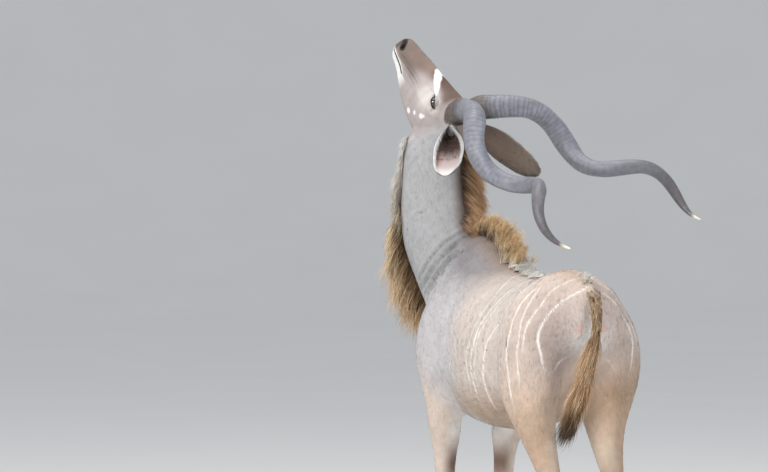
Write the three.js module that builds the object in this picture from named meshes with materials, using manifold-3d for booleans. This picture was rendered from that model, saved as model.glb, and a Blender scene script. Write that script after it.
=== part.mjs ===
// A greater kudu bull, life size, standing and stretching its head up, in millimetres.
// +Z is up and the hooves stand on Z = 0. The animal faces -Y, and its left side is +X.
// The body is modelled whole from tubes of named stations, then parted into nodes by thin cuts.

import * as THREE from "three";
import { mergeVertices } from "three/addons/utils/BufferGeometryUtils.js";
import Module from "manifold-3d";

const wasm = await Module();
wasm.setup();

// Driving sizes.
const GAP = 0.3; // between two nodes that touch
const HEAD_AT = [27, -594, 1751]; // middle of the back of the skull
const HEAD_YAW = 44; // turned to the animal's left, degrees
const HEAD_PITCH = 58.1; // nose raised
const HEAD_ROLL = -9.6;
const HEAD_CUT = 36; // from the back of the skull to the cut behind the jaw
const NECK_CUT_AT = [0, -560, 1180]; // a point of the cut between neck and torso
const NECK_CUT_TILT = 37; // of that cut's normal above the horizontal, degrees

const LEG_SPREAD = 118; // of a knee or hock from the middle plane
const LEG_CUT_IN = 40; // inner side of the leg nodes
const KNEE_CUT = 462;
const HOCK_CUT = 556;
const CORONET = 56; // height of the top of a hoof

const HORN = {
  base: [59, 94, 109], // left, dorsal, forward of the back of the skull
  length: 958, // along the axis of the coil
  tilt: 27.8, // of that axis above the line backwards, degrees
  splay: 22.6, // outwards
  coil: [55, 44], // radius of the coil at base and tip
  turns: 1.876,
  start: -103.4, // angle round the axis at the base, 0 in front and 90 outside
  pacing: 1.156,
  radius: [43, 41, 39, 38, 37, 34, 30, 27, 25, 21, 14, 3], // of the horn, base to tip
  keel: 0.16, // height of the keel as a share of the radius
  root: [50, 60, 130], // where its root ends in the skull, in the same axes as the base
};

const EYE = { at: [66, 28, 172], radius: 21 };
const EAR = {
  at: [66, 40, 52], // middle of its root, in the head's own axes
  wall: 5,
  bend: 22, // of the tip towards the back of the ear
  sunk: 17, // of its root into the skull
  left: { along: [0.81, 0.04, -0.554], facing: [0.48, 0.49, 0.69], length: 278 },
  right: { along: [-0.391, 0.299, -0.87], facing: [-0.9, -0.05, 0.39], length: 318 },
};
// Stations of an ear, root to tip: half width, depth, and half the angle its wall goes round.
const EAR_CUP = [
  [21, 23, 165],
  [27, 28, 150],
  [38, 33, 126],
  [50, 36, 104],
  [58, 37, 92],
  [60, 35, 86],
  [58, 31, 80],
  [51, 26, 76],
  [37, 17, 72],
  [8, 5, 70],
];

// Stations of the torso: height of the widest level, half width, up to the back, down to the belly.
const TORSO = [
  [-700, 1060, 40, 60, 66],
  [-672, 1060, 98, 150, 150],
  [-600, 1055, 158, 262, 238],
  [-500, 1048, 192, 350, 300],
  [-390, 1040, 208, 384, 322],
  [-260, 1022, 226, 382, 314],
  [-120, 1005, 244, 340, 296],
  [20, 1000, 254, 298, 284],
  [150, 1008, 252, 280, 274],
  [270, 1035, 242, 264, 258],
  [380, 1075, 232, 250, 240],
  [480, 1105, 216, 226, 200],
  [560, 1125, 182, 190, 155],
  [620, 1135, 134, 146, 118],
  [658, 1140, 84, 96, 78],
  [676, 1142, 30, 36, 30],
];
const BACK_PINCH = 0.2; // narrows the body towards the spine

// Stations of the neck: middle, half width, back half, throat half, and turn to the left in degrees.
const NECK = [
  [2, -470, 1090, 142, 215, 215, 0],
  [26, -540, 1190, 144, 205, 200, 7],
  [64, -590, 1300, 130, 180, 182, 19],
  [104, -618, 1410, 106, 160, 168, 32],
  [117, -632, 1510, 95, 147, 150, 39],
  [120, -634, 1610, 91, 138, 140, 43],
  [116, -632, 1700, 87, 128, 133, 44],
  [104, -634, 1762, 80, 110, 126, 44],
  [88, -642, 1812, 64, 74, 104, 44],
  [80, -652, 1846, 30, 30, 56, 44],
];

// Stations of the head: forward of the back of the skull, middle, half width, up, down.
const HEAD = [
  [-62, -24, 26, 34, 34],
  [-20, -14, 54, 66, 72],
  [30, -9, 66, 90, 100],
  [75, -12, 74, 112, 122],
  [115, -18, 80, 124, 132],
  [150, -22, 84, 124, 134],
  [185, -25, 82, 118, 130],
  [220, -26, 73, 112, 124],
  [255, -26, 62, 106, 118],
  [290, -24, 53, 99, 110],
  [325, -20, 46, 89, 99],
  [360, -16, 42, 76, 87],
  [395, -14, 42, 63, 75],
  [420, -14, 42, 57, 65],
  [440, -14, 36, 48, 52],
  [455, -14, 16, 22, 24],
];
const FACE_PINCH = 0.24; // narrows the face towards the bridge of the nose
const JAW_PINCH = 0.42; // and towards the chin

// Stations of a left foreleg: outwards of the spread, back, height, half width, back half, front half.
const FORELEG = [
  [-62, -392, 1330, 26, 46, 46],
  [-24, -420, 1250, 68, 100, 96],
  [8, -456, 1140, 92, 138, 142],
  [22, -488, 1030, 100, 142, 150],
  [24, -502, 935, 96, 130, 124],
  [18, -500, 850, 86, 112, 94],
  [12, -496, 770, 77, 88, 74],
  [7, -500, 690, 68, 68, 60],
  [2, -508, 605, 50, 48, 47],
  [0, -516, 535, 42, 39, 40],
  [0, -522, 490, 41, 37, 42],
  [0, -526, 440, 42, 38, 43],
  [0, -529, 395, 35, 32, 34],
  [0, -532, 335, 25, 29, 23],
  [0, -538, 240, 22, 28, 20],
  [0, -542, 175, 24, 31, 22],
  [0, -545, 138, 30, 38, 28],
  [1, -555, 100, 27, 31, 26],
  [2, -568, 72, 31, 32, 30],
  [2, -574, CORONET, 33, 34, 33],
];

// Stations of a left hind leg, in the same columns.
const HINDLEG = [
  [-70, 420, 1300, 24, 44, 44],
  [-24, 428, 1240, 74, 108, 112],
  [8, 440, 1150, 100, 152, 166],
  [22, 446, 1060, 112, 182, 198],
  [28, 438, 970, 114, 190, 196],
  [26, 426, 885, 104, 178, 166],
  [20, 430, 810, 88, 144, 124],
  [12, 462, 740, 70, 106, 90],
  [5, 514, 665, 54, 74, 62],
  [1, 560, 600, 42, 57, 46],
  [0, 588, 550, 38, 52, 46],
  [0, 600, 505, 38, 44, 46],
  [0, 600, 455, 33, 35, 34],
  [0, 594, 385, 26, 30, 26],
  [0, 584, 290, 23, 28, 22],
  [0, 572, 200, 24, 29, 22],
  [0, 563, 150, 31, 39, 29],
  [1, 551, 105, 28, 31, 27],
  [2, 538, 75, 31, 33, 31],
  [2, 531, CORONET, 33, 34, 33],
];

// Outlines of the leg nodes seen from the side: back, height.
const FORELEG_OUTLINE = [
  [-700, -20],
  [-700, 800],
  [-640, 905],
  [-520, 955],
  [-405, 905],
  [-352, 800],
  [-352, -20],
];
const HINDLEG_OUTLINE = [
  [215, -20],
  [215, 800],
  [262, 960],
  [350, 1090],
  [470, 1130],
  [600, 1080],
  [700, 960],
  [700, -20],
];

// Stations of the tail: middle, half width, half depth.
const TAIL = [
  [0, 540, 1258, 30, 26],
  [0, 630, 1274, 29, 25],
  [0, 694, 1236, 25, 22],
  [4, 720, 1150, 20, 18],
  [20, 727, 1060, 18, 16],
  [44, 727, 970, 16, 14],
  [72, 726, 890, 13, 11],
  [92, 724, 840, 7, 6],
];

const CLAW = { length: 92, width: 30, height: CORONET - GAP, apart: 16, toe: 30 };

const rad = THREE.MathUtils.degToRad;
const vec = (x, y, z) => new THREE.Vector3(x, y, z);
const UP = vec(0, 0, 1);
const LEFT = vec(1, 0, 0);
const REAR = vec(0, 1, 0);

// A seeded draw from 0 to 1, so that every build gives the same locks.
let seed = 7;
function draw(low = 0, high = 1) {
  seed = (seed * 16807) % 2147483647;
  return low + ((high - low) * seed) / 2147483647;
}

// Closed geometry and solids.

// One closed surface through rings of points, each end closed on its own middle.
function skin(rings) {
  const sides = rings[0].length;
  const middle = (ring) => ring.reduce((sum, p) => sum.add(p), vec(0, 0, 0)).divideScalar(sides);
  const points = [...rings.flat(), middle(rings[0]), middle(rings.at(-1))];
  const [first, last] = [points.length - 2, points.length - 1];
  const end = (rings.length - 1) * sides;
  const index = [];
  for (let k = 0; k < sides; k++) {
    const next = (k + 1) % sides;
    for (let row = 0; row < end; row += sides) {
      index.push(row + k, row + next, row + sides + next);
      index.push(row + k, row + sides + next, row + sides + k);
    }
    index.push(first, next, k, last, end + k, end + next);
  }
  return facingOut(new THREE.BufferGeometry().setFromPoints(points).setIndex(index));
}

// The geometry with its triangles turned round if its volume comes out negative.
function facingOut(geometry) {
  const at = (i) => vec(0, 0, 0).fromBufferAttribute(geometry.attributes.position, i);
  const index = geometry.index.array;
  let volume = 0;
  for (let i = 0; i < index.length; i += 3)
    volume += at(index[i]).dot(at(index[i + 1]).cross(at(index[i + 2])));
  if (volume < 0) geometry.setIndex([...index].reverse());
  return geometry;
}

function solid(geometry) {
  const bare = new THREE.BufferGeometry().setAttribute("position", geometry.getAttribute("position"));
  if (geometry.index) bare.setIndex(geometry.index);
  const merged = mergeVertices(bare, 1e-4);
  const triVerts = new Uint32Array(merged.index.array);
  const vertProperties = merged.attributes.position.array;
  return new wasm.Manifold(new wasm.Mesh({ numProp: 3, vertProperties, triVerts }));
}

const join = (solids) => solids.reduce((sum, next) => sum.add(next));

// The largest closed surface of a solid, so that no loose scrap stays.
function largest(made) {
  return made.decompose().reduce((best, piece) => (piece.volume() > best.volume() ? piece : best));
}

function mesh(name, made, material) {
  const { vertProperties, triVerts } = largest(made).getMesh();
  const geometry = new THREE.BufferGeometry();
  geometry.setAttribute("position", new THREE.BufferAttribute(vertProperties, 3));
  geometry.setIndex(new THREE.BufferAttribute(triVerts, 1));
  geometry.computeVertexNormals();
  const node = new THREE.Mesh(geometry, material);
  node.name = name;
  return node;
}

// Tubes through stations.

// A tube has a centre line, sizes (half width, top half, bottom half) and a frame along its length.
function tube({ centres, sizes, axes, pinch = [0, 0] }) {
  const path = new THREE.CatmullRomCurve3(centres, false, "catmullrom");
  const size = new THREE.CatmullRomCurve3(sizes, false, "catmullrom");
  const point = (t, turn, grow = 0) => {
    const { side, top } = axes(t, path);
    const { x, y, z } = size.getPoint(t).addScalar(grow);
    const height = Math.sin(turn);
    const narrowing = 1 - pinch[height > 0 ? 0 : 1] * height * height;
    return path
      .getPoint(t)
      .addScaledVector(side, x * narrowing * Math.cos(turn))
      .addScaledVector(top, (height > 0 ? y : z) * height);
  };
  const rings = (steps, sides, { from = 0, to = 1, grow = 0 } = {}) =>
    Array.from({ length: steps + 1 }, (_, i) =>
      Array.from({ length: sides }, (_, k) =>
        point(from + ((to - from) * i) / steps, (2 * Math.PI * k) / sides, grow),
      ),
    );
  const out = (t, turn) => point(t, turn).sub(path.getPoint(t)).normalize();
  return { path, point, rings, out };
}

const torsoTube = tube({
  centres: TORSO.map(([back, height]) => vec(0, back, height)),
  sizes: TORSO.map(([, , width, up, down]) => vec(width, up, down)),
  axes: () => ({ side: LEFT, top: UP }),
  pinch: [BACK_PINCH, 0],
});

const turns = new THREE.CatmullRomCurve3(NECK.map((s) => vec(rad(s[6]), 0, 0)), false, "catmullrom");
const neckTube = tube({
  centres: NECK.map(([x, y, z]) => vec(x, y, z)),
  sizes: NECK.map(([, , , width, back, throat]) => vec(width, back, throat)),
  axes: (t, path) => {
    const side = LEFT.clone().applyAxisAngle(UP, turns.getPoint(t).x);
    return { side, top: path.getTangent(t).cross(side).normalize() };
  },
});

// The head's own axes: x left, y dorsal, z forward.
const headFrame = (() => {
  const heading = vec(Math.sin(rad(HEAD_YAW)), -Math.cos(rad(HEAD_YAW)), 0);
  const forward = heading.clone().multiplyScalar(Math.cos(rad(HEAD_PITCH)));
  forward.addScaledVector(UP, Math.sin(rad(HEAD_PITCH)));
  const left = vec(Math.cos(rad(HEAD_YAW)), Math.sin(rad(HEAD_YAW)), 0);
  left.applyAxisAngle(forward, rad(HEAD_ROLL));
  const dorsal = forward.clone().cross(left);
  return new THREE.Matrix4().makeBasis(left, dorsal, forward).setPosition(...HEAD_AT);
})();
const inHead = ([x, y, z]) => vec(x, y, z).applyMatrix4(headFrame);
const turnedWithHead = ([x, y, z]) => vec(x, y, z).transformDirection(headFrame);

const headTube = tube({
  centres: HEAD.map(([forward, middle]) => vec(0, middle, forward)),
  sizes: HEAD.map(([, , width, up, down]) => vec(width, up, down)),
  axes: () => ({ side: vec(1, 0, 0), top: vec(0, 1, 0) }),
  pinch: [FACE_PINCH, JAW_PINCH],
});

function legTube(stations, side) {
  return tube({
    centres: stations.map(([out, back, height]) => vec(side * (LEG_SPREAD + out), back, height)),
    sizes: stations.map(([, , , width, back, front]) => vec(width, back, front)),
    axes: () => ({ side: LEFT, top: REAR }),
  });
}

// A smooth swelling or hollow of a surface: points near its middle move along a direction.
function swell(points, middle, reach, shift) {
  for (const p of points) {
    const share = Math.exp(-p.distanceToSquared(middle) / (reach * reach));
    p.addScaledVector(shift, share);
  }
}

// Head.

function headSolid(grow = 0) {
  const rings = headTube.rings(29, 22, { grow });
  const points = rings.flat();
  for (const side of [1, -1]) {
    swell(points, vec(side * 74, 44, 166), 36, vec(side * 11, 3, 0)); // brow over the eye
    swell(points, vec(side * 80, 4, 176), 26, vec(side * 3, 0, 0)); // lower lid
    swell(points, vec(side * 78, -60, 130), 60, vec(side * 8, 0, 0)); // cheek
    swell(points, vec(side * 44, 24, 436), 15, vec(side * -13, -2, -8)); // nostril
    swell(points, vec(side * 44, 42, 424), 17, vec(side * 5, 3, 0)); // its upper rim
    swell(points, vec(side * 55, -8, 290), 45, vec(side * -5, 0, 0)); // hollow before the cheek
  }
  for (const p of points) p.applyMatrix4(headFrame);
  return solid(skin(rings));
}

// The line of the mouth: a thin wedge from the front of the muzzle back to the corners of the lips.
function mouthCut() {
  const outline = new THREE.Shape([
    new THREE.Vector2(470, -34),
    new THREE.Vector2(420, -38),
    new THREE.Vector2(358, -58),
    new THREE.Vector2(420, -43),
    new THREE.Vector2(470, -41),
  ]);
  const wide = 120;
  const flat = new THREE.ExtrudeGeometry(outline, { depth: wide, bevelEnabled: false });
  // The outline's x runs forward and its y dorsal, so it is turned to lie across the head.
  flat.applyMatrix4(new THREE.Matrix4().makeBasis(vec(0, 0, 1), vec(0, 1, 0), vec(-1, 0, 0)));
  flat.translate(wide / 2, 0, 0);
  const inner = tube({
    centres: [vec(0, -40, 340), vec(0, -38, 400), vec(0, -36, 436)],
    sizes: [vec(33, 40, 40), vec(34, 40, 40), vec(24, 40, 40)],
    axes: () => ({ side: vec(1, 0, 0), top: vec(0, 1, 0) }),
  });
  // Only the lips part, so the middle of the mouth stays solid.
  const lips = solid(flat).subtract(solid(skin(inner.rings(4, 12))));
  return placed(lips, headFrame);
}

// A solid moved by a matrix.
function placed(made, matrix) {
  return made.transform(matrix.toArray());
}

// Horns.

// Middle of the left horn at a share t of its length, in the head's own axes.
function hornLine(t) {
  const { tilt, splay, coil, length, turns: count, start, pacing } = HORN;
  const [up, out] = [rad(tilt), rad(splay)];
  const axis = vec(Math.sin(out), Math.sin(up) * Math.cos(out), -Math.cos(up) * Math.cos(out));
  const front = vec(0, Math.cos(up), Math.sin(up));
  const outer = axis.clone().cross(front).normalize();
  const angle = rad(start) + 2 * Math.PI * count * Math.max(t, 0) ** pacing;
  const radius = THREE.MathUtils.lerp(coil[0], coil[1], t);
  return axis
    .multiplyScalar(length * t)
    .addScaledVector(front, radius * Math.cos(angle))
    .addScaledVector(outer, radius * Math.sin(angle));
}

function hornRings(side, steps, sides, from, to) {
  const root = hornLine(0);
  const widths = new THREE.CatmullRomCurve3(HORN.radius.map((r) => vec(r, 0, 0)), false, "catmullrom");
  const base = vec(...HORN.base);
  const middle = (t) =>
    t < 0 ? base.clone().lerp(vec(...HORN.root), t / from) : hornLine(t).sub(root).add(base);
  return Array.from({ length: steps + 1 }, (_, i) => {
    const t = from + ((to - from) * i) / steps;
    const along = middle(t + 0.004).sub(middle(Math.max(t - 0.004, from))).normalize();
    const keelAngle = rad(HORN.start) + 2 * Math.PI * HORN.turns * Math.max(t, 0) ** HORN.pacing;
    const first = vec(0, 1, 0.5).cross(along).normalize();
    const second = along.clone().cross(first);
    const radius = widths.getPoint(Math.max(t, 0)).x - Math.min(7, Math.max(0, -t * 130));
    return Array.from({ length: sides }, (_, k) => {
      const turn = (2 * Math.PI * k) / sides;
      const keel = Math.max(0, Math.cos(turn - keelAngle)) ** 6;
      const reach = radius * (1 + HORN.keel * keel);
      const p = middle(t)
        .addScaledVector(first, reach * Math.cos(turn))
        .addScaledVector(second, reach * Math.sin(turn));
      p.x *= side;
      return p.applyMatrix4(headFrame);
    });
  });
}

// Ears.

// A cupped ear: an outer wall and, inside it, an inner one, joined along the rim.
function earSolid(side, { along, facing, length }) {
  const axis = vec(...along).normalize();
  const root = vec(side * EAR.at[0], EAR.at[1], EAR.at[2]).addScaledVector(axis, -EAR.sunk);
  const mouth = vec(...facing).addScaledVector(axis, -vec(...facing).dot(axis)).normalize();
  const across = axis.clone().cross(mouth);
  const cup = new THREE.CatmullRomCurve3(EAR_CUP.map((s) => vec(...s)), false, "catmullrom");
  const wall = (s, share, inset) => {
    const { x: wide, y: deep, z: round } = cup.getPoint(s);
    const thick = Math.min(inset, 0.4 * deep);
    const turn = rad(round) * share;
    return root
      .clone()
      .addScaledVector(axis, s * (length + EAR.sunk))
      .addScaledVector(across, (wide - thick) * Math.sin(turn))
      .addScaledVector(mouth, -(deep - thick) * Math.cos(turn) - EAR.bend * s * s);
  };
  const [steps, arc] = [12, 8];
  const rings = Array.from({ length: steps + 1 }, (_, i) => {
    const s = i / steps;
    const shares = Array.from({ length: arc + 1 }, (_, k) => (2 * k) / arc - 1);
    const outer = shares.map((share) => wall(s, share, 0));
    const inner = shares.reverse().map((share) => wall(Math.max(s, 0.12), share * 0.97, EAR.wall));
    return [...outer, ...inner].map((p) => p.applyMatrix4(headFrame));
  });
  return solid(skin(rings));
}

// Locks of hair.

// A flat, tapered lock of three sides from root to tip, bending from one direction to another.
function lock(root, start, end, length, width, sunk = 14) {
  const from = root.clone().addScaledVector(start, -sunk);
  const bend = root.clone().addScaledVector(start, length * 0.45);
  const tip = bend.clone().addScaledVector(end, length * 0.6);
  const line = new THREE.QuadraticBezierCurve3(from, bend, tip);
  const across = start.clone().cross(end);
  if (across.lengthSq() < 1e-4) across.copy(start).cross(LEFT);
  across.normalize().applyAxisAngle(start, draw(-0.7, 0.7));
  const steps = 3;
  const rings = [];
  for (let i = 0; i <= steps; i++) {
    const s = (i / steps) * 0.97;
    const along = line.getTangent(s);
    const flat = across.clone().addScaledVector(along, -across.dot(along)).normalize();
    const thick = along.clone().cross(flat);
    const half = (width / 2) * (i === 0 ? 0.75 : 1 - 0.85 * (i / steps) ** 1.6);
    const middle = line.getPoint(s);
    rings.push([
      middle.clone().addScaledVector(flat, half),
      middle.clone().addScaledVector(thick, half * 0.55),
      middle.clone().addScaledVector(flat, -half).addScaledVector(thick, -half * 0.2),
    ]);
  }
  return solid(skin(rings));
}

// Locks set along a tube: a row of places from one share of its length to another.
function locksAlong(along, { from, to, count, turn, spread, length, width, lie, rise }) {
  return Array.from({ length: count }, (_, i) => {
    const share = (i + draw(0.2, 0.8)) / count;
    const t = THREE.MathUtils.lerp(from, to, share);
    const angle = rad(turn + draw(-spread, spread));
    const root = along.point(t, angle);
    const out = along.out(t, angle);
    const lay = vec(...lie(share)).normalize();
    const start = out.clone().multiplyScalar(rise).addScaledVector(lay, 1 - rise).normalize();
    const end = lay.clone().addScaledVector(out, rise * 0.3);
    end.add(vec(draw(-0.16, 0.16), draw(-0.16, 0.16), draw(-0.1, 0.1))).normalize();
    return lock(root, start, end, length(share) * draw(0.82, 1.15), width(share) * draw(0.85, 1.15));
  });
}

const bell = (share, low, high) => low + (high - low) * Math.sin(Math.PI * share);
const ramp = (share, low, high) => low + (high - low) * share;

// Where a station of the torso lies along its tube, from the distance back.
function torsoShare(back) {
  const next = TORSO.findIndex(([y]) => y > back);
  const [a, b] = [TORSO[next - 1][0], TORSO[next][0]];
  return (next - 1 + (back - a) / (b - a)) / (TORSO.length - 1);
}

function napeLocks() {
  return locksAlong(neckTube, {
    from: 0.76, to: 0.36, count: 20, turn: 90, spread: 9,
    length: (s) => bell(s, 74, 104), width: () => 26,
    lie: () => [-0.28, 0.42, -0.72], rise: 0.62,
  });
}

function throatLocks() {
  const common = { turn: -90, lie: () => [0.02, -0.04, -1] };
  return [
    ...locksAlong(neckTube, {
      ...common, from: 0.74, to: 0.42, count: 11, spread: 12, rise: 0.36,
      length: (s) => ramp(s, 62, 88), width: () => 21,
    }),
    ...locksAlong(neckTube, {
      ...common, from: 0.42, to: 0.08, count: 23, spread: 22, rise: 0.6,
      length: (s) => bell(s, 140, 225), width: () => 31,
    }),
  ];
}

function withersLocks() {
  return [
    ...locksAlong(torsoTube, {
      from: torsoShare(-480), to: torsoShare(20), count: 26, turn: 90, spread: 6,
      length: (s) => bell(s, 88, 122), width: () => 30,
      lie: () => [0, 0.8, 0.2], rise: 0.6,
    }),
    ...locksAlong(torsoTube, {
      from: torsoShare(20), to: torsoShare(240), count: 10, turn: 90, spread: 6,
      length: (s) => ramp(s, 82, 46), width: () => 26,
      lie: () => [0, 1, -0.1], rise: 0.3,
    }),
    ...locksAlong(torsoTube, {
      from: torsoShare(500), to: torsoShare(585), count: 4, turn: 90, spread: 8,
      length: () => 40, width: () => 20,
      lie: () => [0, 0.7, 0.3], rise: 0.6,
    }),
  ];
}

// Tail.

const tailTube = tube({
  centres: TAIL.map(([x, y, z]) => vec(x, y, z)),
  sizes: TAIL.map(([, , , width, depth]) => vec(width, depth, depth)),
  axes: (t, path) => ({ side: LEFT, top: LEFT.clone().cross(path.getTangent(t)).normalize() }),
});

function tailLocks() {
  const lie = (s) => [ramp(s, 0.3, 0.52), -0.03, -1];
  return [-70, 20, 110, 200].flatMap((turn, row) =>
    locksAlong(tailTube, {
      from: 0.62 - 0.015 * row, to: 0.985, count: 5, turn, spread: 18,
      length: (s) => ramp(s, 135, 165), width: () => 22, lie, rise: 0.16,
    }),
  );
}

// Hooves: two claws for each foot, flat on the floor, leaning forward to the toe.
function claw(middle, side) {
  const { length, width, height, toe } = CLAW;
  const levels = [
    [0, 1.0, toe],
    [0.35, 0.97, toe * 0.62],
    [0.7, 0.9, toe * 0.3],
    [1, 0.8, 0],
  ];
  const count = 12;
  const rings = levels.map(([up, share, forward]) =>
    Array.from({ length: count }, (_, k) => {
      const turn = (2 * Math.PI * k) / count;
      const nose = -Math.sin(turn); // 1 at the toe
      const narrow = nose > 0 ? 1 - 0.45 * nose ** 2 : 1;
      return vec(
        middle.x + (width / 2) * share * narrow * Math.cos(turn) + side * 2 * nose,
        middle.y - nose * (length / 2) * share - forward * (nose > 0 ? 1 : 0.45),
        up * height,
      );
    }),
  );
  return solid(skin(rings));
}

// Dewclaws behind the fetlock, one with the lower leg.
function dewclaws(x, y, z) {
  return [1, -1].map((side) => {
    const nub = new THREE.SphereGeometry(1, 6, 4);
    nub.scale(9, 11, 15);
    nub.rotateX(rad(25));
    nub.translate(x + side * 15, y, z);
    nub.deleteAttribute("normal");
    nub.deleteAttribute("uv");
    return solid(nub);
  });
}

// Cuts.

// The half of a solid on the side that a normal points to, at least a distance past a point.
function beyond(made, normal, at, distance = 0) {
  return made.trimByPlane(normal.toArray(), normal.dot(at) + distance);
}

// A leg's region: its outline seen from the side, drawn out from its inner side, grown by a margin.
function legRegion(outline, side, margin) {
  const middle = [0, 1].map((k) => outline.reduce((sum, p) => sum + p[k], 0) / outline.length);
  const grown = outline.map(([back, height]) => {
    const away = new THREE.Vector2(back - middle[0], height - middle[1]);
    away.setLength(away.length() + 1.6 * margin);
    return new THREE.Vector2(middle[0] + away.x, middle[1] + away.y);
  });
  const depth = 420;
  const block = new THREE.ExtrudeGeometry(new THREE.Shape(grown), { depth, bevelEnabled: false });
  // The outline's x runs back and its y up, so it is turned to face along X.
  block.applyMatrix4(new THREE.Matrix4().makeBasis(REAR, UP, LEFT));
  block.translate(side > 0 ? LEG_CUT_IN - margin : -LEG_CUT_IN + margin - depth, 0, 0);
  return solid(block);
}

// Assembly.

const hide = { grey: 0x9d958d, fawn: 0xb49f8c, face: 0x8b766a, horn: 0x5b544e, hoof: 0x37322e, ear: 0xa4968c };
const paint = (color, roughness) => new THREE.MeshStandardMaterial({ color, roughness, metalness: 0 });
const coat = paint(hide.fawn, 0.85);
const neckCoat = paint(hide.grey, 0.85);
const faceCoat = paint(hide.face, 0.8);
const earCoat = paint(hide.ear, 0.85);
const keratin = paint(hide.horn, 0.55);
const hoofHorn = paint(hide.hoof, 0.6);
const wetEye = paint(0x140f0c, 0.08);

const kudu = new THREE.Group();
const sides = { left: 1, right: -1 };

const forward = turnedWithHead([0, 0, 1]);
const headCutAt = inHead([0, 0, HEAD_CUT]);
const neckCut = vec(0, -Math.cos(rad(NECK_CUT_TILT)), Math.sin(rad(NECK_CUT_TILT)));
const neckCutAt = vec(...NECK_CUT_AT);

const head = headSolid().subtract(mouthCut());
const neckSolid = (grow = 0) => solid(skin(neckTube.rings(14, 22, { grow })));
const torsoSolid = (grow = 0) => solid(skin(torsoTube.rings(25, 24, { grow })));
const neck = neckSolid();
const trunk = torsoSolid();
const skullRoom = join([headSolid(3 * GAP), neckSolid(3 * GAP)]); // ears and horns end on it

const legSolids = {};
for (const [name, side] of Object.entries(sides)) {
  legSolids[`foreleg_${name}`] = solid(skin(legTube(FORELEG, side).rings(27, 12)));
  legSolids[`hindleg_${name}`] = solid(skin(legTube(HINDLEG, side).rings(27, 12)));
}
const body = join([trunk, neck, ...Object.values(legSolids)]);
const behindNeckCut = beyond(body, neckCut.clone().negate(), neckCutAt, GAP / 2);

// The torso is what the leg regions leave.
let torso = behindNeckCut;
for (const side of Object.values(sides)) {
  torso = torso.subtract(legRegion(FORELEG_OUTLINE, side, GAP));
  torso = torso.subtract(legRegion(HINDLEG_OUTLINE, side, GAP));
}
const backLocks = withersLocks().map((one) => beyond(one, neckCut.clone().negate(), neckCutAt, GAP / 2));
torso = join([largest(torso), ...backLocks]);
kudu.add(mesh("torso", torso, coat));

// The neck runs from that cut to the cut behind the jaw.
const neckPart = (made) =>
  beyond(beyond(made, neckCut, neckCutAt, GAP / 2), forward.clone().negate(), headCutAt, GAP / 2);
const neckHair = [...napeLocks(), ...throatLocks()].map(neckPart).filter((one) => one.numTri() > 0);
kudu.add(mesh("neck", join([largest(neckPart(join([body, head]))), ...neckHair]), neckCoat));

// The head keeps the front of that cut, with sockets for the eyes.
let skull = beyond(join([neck, head]), forward, headCutAt, GAP / 2);
for (const [name, side] of Object.entries(sides)) {
  const horn = solid(skin(hornRings(side, 41, 10, -0.06, 1))).subtract(skullRoom);
  const ear = earSolid(side, EAR[name]).subtract(skullRoom);
  kudu.add(mesh(`horn_${name}`, horn, keratin));
  const eyeAt = inHead([side * EYE.at[0], EYE.at[1], EYE.at[2]]);
  const ball = (grow) => {
    const sphere = new THREE.SphereGeometry(EYE.radius + grow, 12, 8);
    sphere.translate(eyeAt.x, eyeAt.y, eyeAt.z);
    return solid(sphere);
  };
  skull = skull.subtract(ball(GAP));
  kudu.add(mesh(`eye_${name}`, ball(0), wetEye));
  kudu.add(mesh(`ear_${name}`, ear, earCoat));
}
kudu.add(mesh("head", skull, faceCoat));

// The tail hangs from its root with its brush.
const tail = solid(skin(tailTube.rings(12, 10))).subtract(torsoSolid(3 * GAP));
kudu.add(mesh("tail", join([tail, ...tailLocks()]), coat));

// Each leg is parted at the knee or hock, and stands on two claws.
for (const [name, side] of Object.entries(sides)) {
  const feet = [
    ["foreleg", FORELEG_OUTLINE, KNEE_CUT, FORELEG],
    ["hindleg", HINDLEG_OUTLINE, HOCK_CUT, HINDLEG],
  ];
  for (const [kind, outline, level, stations] of feet) {
    const whole = largest(behindNeckCut.intersect(legRegion(outline, side, 0)));
    const [out, back] = stations.at(-1);
    const fetlock = stations.at(-4);
    const x = side * (LEG_SPREAD + out);
    const cutAt = vec(0, 0, level);
    const upper = beyond(whole, UP, cutAt, GAP / 2);
    const lower = beyond(whole, UP.clone().negate(), cutAt, GAP / 2);
    const nubs = dewclaws(x, fetlock[1] + fetlock[4] - 2, fetlock[2] - 16);
    kudu.add(mesh(`${kind}_${name}_upper`, upper, coat));
    kudu.add(mesh(`${kind}_${name}_lower`, join([lower, ...nubs]), coat));
    for (const [where, way] of [["inner", -side], ["outer", side]]) {
      const middle = vec(x + way * CLAW.apart, back, 0);
      kudu.add(mesh(`hoof_${kind}_${name}_${where}`, claw(middle, way), hoofHorn));
    }
  }
}

// The middle of the whole box stands over the origin.
const middle = new THREE.Box3().setFromObject(kudu).getCenter(vec(0, 0, 0));
for (const node of kudu.children) node.geometry.translate(-middle.x, -middle.y, 0);

export default kudu;
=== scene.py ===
"""A greater kudu bull, life size, as a still model on a pale studio floor.

All shapes are worked out in the animal's own frame, in metres: +X is its left, -Y the way it
stands, +Z up, hooves on Z = 0. Each finished piece is then moved to the frame of the solids.
"""
import math

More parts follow.
